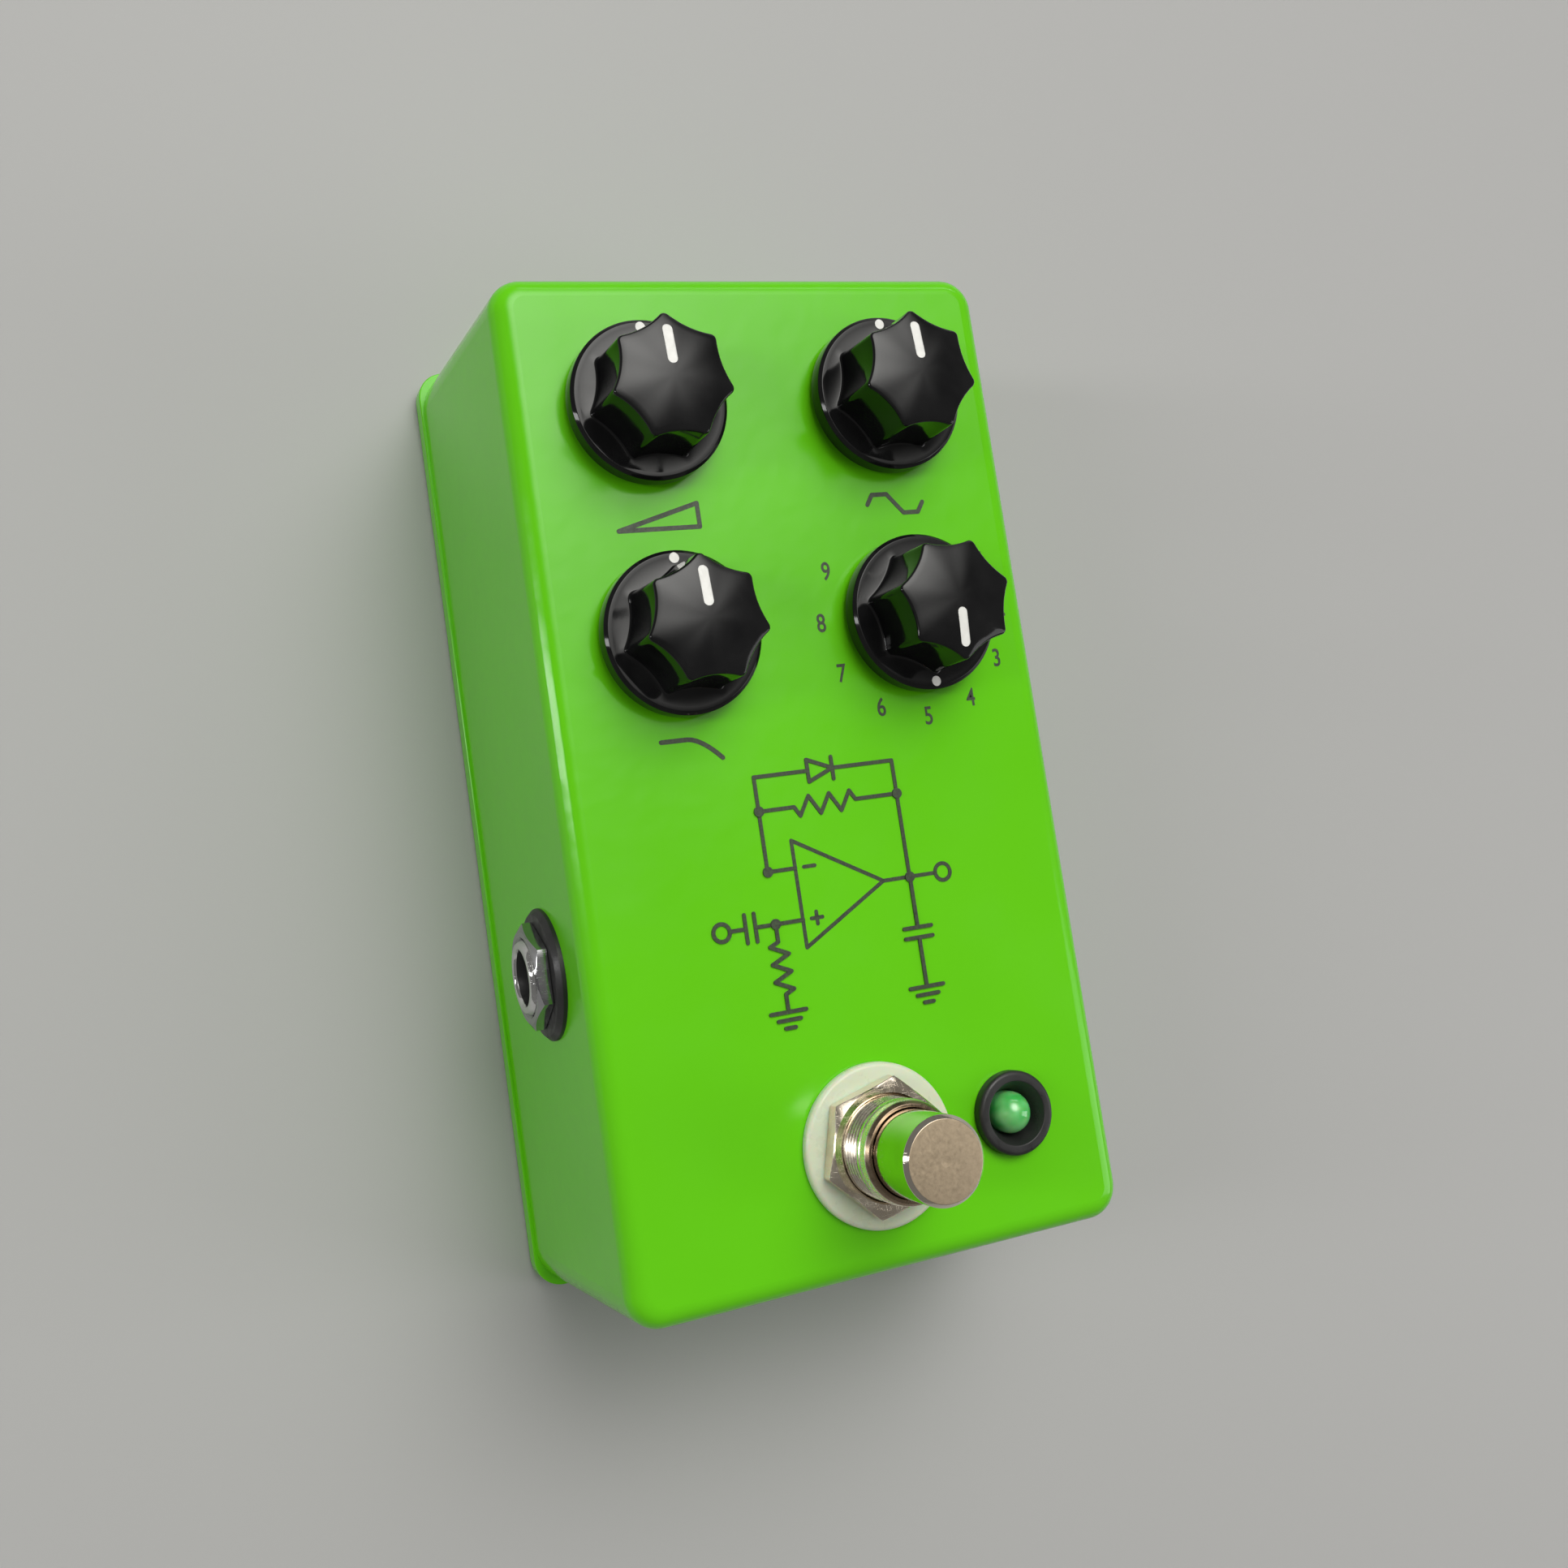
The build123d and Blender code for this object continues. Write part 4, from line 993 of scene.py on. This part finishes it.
def schematic():
    """Generic line art: an amplifier symbol with feedback parts, terminals and ground legs."""
    art = Print(ART_CENTRE, ART_STROKE)
    art.line((-5, 6.2), (-5, -6.2), (6, 0), (-5, 6.2))
    art.line((-3.9, 3), (-2.5, 3))
    art.line((-3.9, -3), (-2.5, -3))
    art.line((-3.2, -2.3), (-3.2, -3.7))
    art.line((6, 0), (13, 0))
    art.ring((14, 0), 1.0)
    art.line((-5, 3), (-8.5, 3), (-8.5, 14))
    art.line((-8.5, 10), (-4, 10), *zigzag((-4, 10), (4, 10))[1:], (9.5, 10))
    art.line((-8.5, 14), (-1.6, 14))
    art.line((1.6, 14), (9.5, 14), (9.5, 0))
    art.line((-1.6, 12.7), (-1.6, 15.3), (1.6, 14), (-1.6, 12.7))
    art.line((1.6, 12.7), (1.6, 15.3))
    art.line((-5, -3), (-11, -3))
    art.line((-11, -1.4), (-11, -4.6))
    art.line((-12.2, -1.4), (-12.2, -4.6))
    art.line((-12.2, -3), (-14.2, -3))
    art.ring((-15.2, -3), 1.0)
    art.line((-8.5, -3), (-8.5, -5), *zigzag((-8.5, -5), (-8.5, -11))[1:], (-8.5, -13))
    ground(art, -8.5, -13)
    art.line((9.5, 0), (9.5, -6))
    art.line((7.7, -6), (11.3, -6))
    art.line((7.7, -7.2), (11.3, -7.2))
    art.line((9.5, -7.2), (9.5, -13))
    ground(art, 9.5, -13)
    for spot in ((-8.5, 3), (-8.5, 10), (9.5, 10), (9.5, 0), (-8.5, -3)):
        art.disc(spot, 0.62)
    art.done("face_line_art")


def icons():
    """Symbols under three knobs: a rising wedge, a clipped wave and a falling response curve."""
    for control in ("volume", "drive", "tone"):
        centre = centre_of(f"{control}_knob")
        icon = Print(Vector((centre.x, centre.y - ICON_BELOW)), ICON_STROKE)
        if control == "volume":
            icon.line((-5, -1.4), (5, -1.4), (5, 1.4), (-5, -1.4))
        elif control == "drive":
            icon.line((-3.8, 0), (-3.0, 1.2), (-1.0, 1.2), (1.0, -1.2), (3.0, -1.2), (3.8, 0))
        else:
            curve = [(-3.6, 1.1), (-0.4, 1.1)]
            for step in range(1, 9):
                share = step / 8
                curve.append((-0.4 + 4.0 * share, 1.1 - 2.5 * share**1.7))
            icon.line(*curve)
        icon.done(f"{control}_symbol")


def dial_numbers():
    """Numbers 1 to 9 round the mode knob, evenly spaced, with the middle one at the player's side."""
    centre = centre_of("mode_knob")
    for number in range(1, 10):
        angle = math.radians(-90 - (number - DIAL_MIDDLE) * DIAL_STEP)
        curve = bpy.data.curves.new(f"dial_{number}", "FONT")
        curve.body = str(number)
        curve.size = DIGIT_HEIGHT
        curve.align_x = "CENTER"
        curve.align_y = "CENTER"
        curve.extrude = INK_HEIGHT / 2
        curve.offset = DIGIT_WEIGHT
        curve.resolution_u = 6
        text = bpy.data.objects.new(f"dial_{number}_text", curve)
        bpy.context.scene.collection.objects.link(text)
        bpy.context.view_layer.update()
        evaluated = text.evaluated_get(bpy.context.evaluated_depsgraph_get())
        mesh = bpy.data.meshes.new_from_object(evaluated)
        bpy.data.objects.remove(text)
        spot = Vector((
            centre.x + DIAL_RADIUS * math.cos(angle),
            centre.y + DIAL_RADIUS * math.sin(angle),
            face_z + INK_HEIGHT / 2,
        ))
        mesh.transform(Matrix.Translation(spot) @ Matrix.Diagonal((DIGIT_NARROWING, 1, 1, 1)))
        mesh.materials.clear()
        mesh.materials.append(print_ink)
        obj = bpy.data.objects.new(f"dial_number_{number}", mesh)
        bpy.context.scene.collection.objects.link(obj)
        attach(obj, CHASSIS)


schematic()
icons()
dial_numbers()

# ---------------------------------------------------------------- stage, light and camera

FLOOR_REACH = 3.0
GLOW_DIRECTION = Vector((0.12, 0.48, 0.87))
GLOW_EDGE = 0.80
GLOW_FALL = 3.0
GLOW_LEVEL = 7.0
SURROUND_LEVEL = 0.18


def floor():
    """A plain pale floor under the pedal."""
    bm = bmesh.new()
    sides = ((-1, -1), (1, -1), (1, 1), (-1, 1))
    bm.faces.new([bm.verts.new((x * FLOOR_REACH, y * FLOOR_REACH, 0)) for x, y in sides])
    surface = Surface("pale_floor", (0.42, 0.42, 0.415), 0.6)
    surface.mottle(surface.noise(0.4, 2.0), (0.39, 0.39, 0.385), 0.5)
    new_object("floor", bm, [surface.material])


def softbox(name, place, size, power, target=(0, 0, 0.02)):
    """A rectangular area light aimed at a target."""
    light = bpy.data.lights.new(name, "AREA")
    light.shape = "RECTANGLE"
    light.size, light.size_y = size
    light.energy = power
    obj = bpy.data.objects.new(name, light)
    bpy.context.scene.collection.objects.link(obj)
    obj.location = place
    obj.rotation_mode = "QUATERNION"
    obj.rotation_quaternion = (Vector(target) - Vector(place)).to_track_quat("-Z", "Y")
    return obj


def surround():
    """A dim even surround that brightens softly towards one patch of the ceiling."""
    world = bpy.data.worlds.new("studio")
    bpy.context.scene.world = world
    world.use_nodes = True
    nodes, links = world.node_tree.nodes, world.node_tree.links
    direction = nodes.new("ShaderNodeTexCoord").outputs["Generated"]
    facing = nodes.new("ShaderNodeVectorMath")
    facing.operation = "DOT_PRODUCT"
    facing.inputs[1].default_value = GLOW_DIRECTION.normalized()
    near = nodes.new("ShaderNodeMapRange")
    near.inputs["From Min"].default_value = GLOW_EDGE
    near.inputs["From Max"].default_value = 1.0
    fall = nodes.new("ShaderNodeMath")
    fall.operation = "POWER"
    fall.inputs[1].default_value = GLOW_FALL
    level = nodes.new("ShaderNodeMath")
    level.operation = "MULTIPLY_ADD"
    level.inputs[1].default_value = GLOW_LEVEL
    level.inputs[2].default_value = SURROUND_LEVEL
    background = nodes["Background"]
    background.inputs["Color"].default_value = (1.0, 0.985, 0.95, 1)
    links.new(direction, facing.inputs[0])
    links.new(facing.outputs["Value"], near.inputs["Value"])
    links.new(near.outputs["Result"], fall.inputs[0])
    links.new(fall.outputs["Value"], level.inputs[0])
    links.new(level.outputs["Value"], background.inputs["Strength"])


def studio():
    """Soft studio light: the surround, a key box from the far right, two low fills and a far strip."""
    surround()
    key = softbox("key", (0.36, 0.46, 0.66), (0.35, 0.35), 0.7)
    key.visible_glossy = False
    softbox("right", (0.75, -0.25, 0.45), (0.3, 0.6), 1.2)
    softbox("left", (-0.8, 0.1, 0.40), (0.10, 0.6), 2.0)
    softbox("far", (0.36, 0.76, 0.40), (0.7, 0.05), 0.5)
    bpy.context.scene.view_settings.view_transform = "Standard"


def camera():
    """The camera, by its place, its three axes, its lens and the shift of its frame."""
    data = bpy.data.cameras.new("camera")
    data.lens = 36.307
    data.sensor_width = 36.0
    data.shift_x, data.shift_y = 0.0516, -0.0319
    data.clip_start = 0.01
    obj = bpy.data.objects.new("camera", data)
    bpy.context.scene.collection.objects.link(obj)
    right = Vector((0.92513, -0.14485, 0.35094))
    up = Vector((0.10443, 0.98579, 0.13158))
    back = Vector((-0.36500, -0.08508, 0.92711))
    turned = Matrix((right, up, back)).transposed()
    obj.matrix_world = Matrix.Translation(Vector((-79.88, -10.73, 207.03)) * MM) @ turned.to_4x4()
    bpy.context.scene.camera = obj


floor()
studio()
camera()
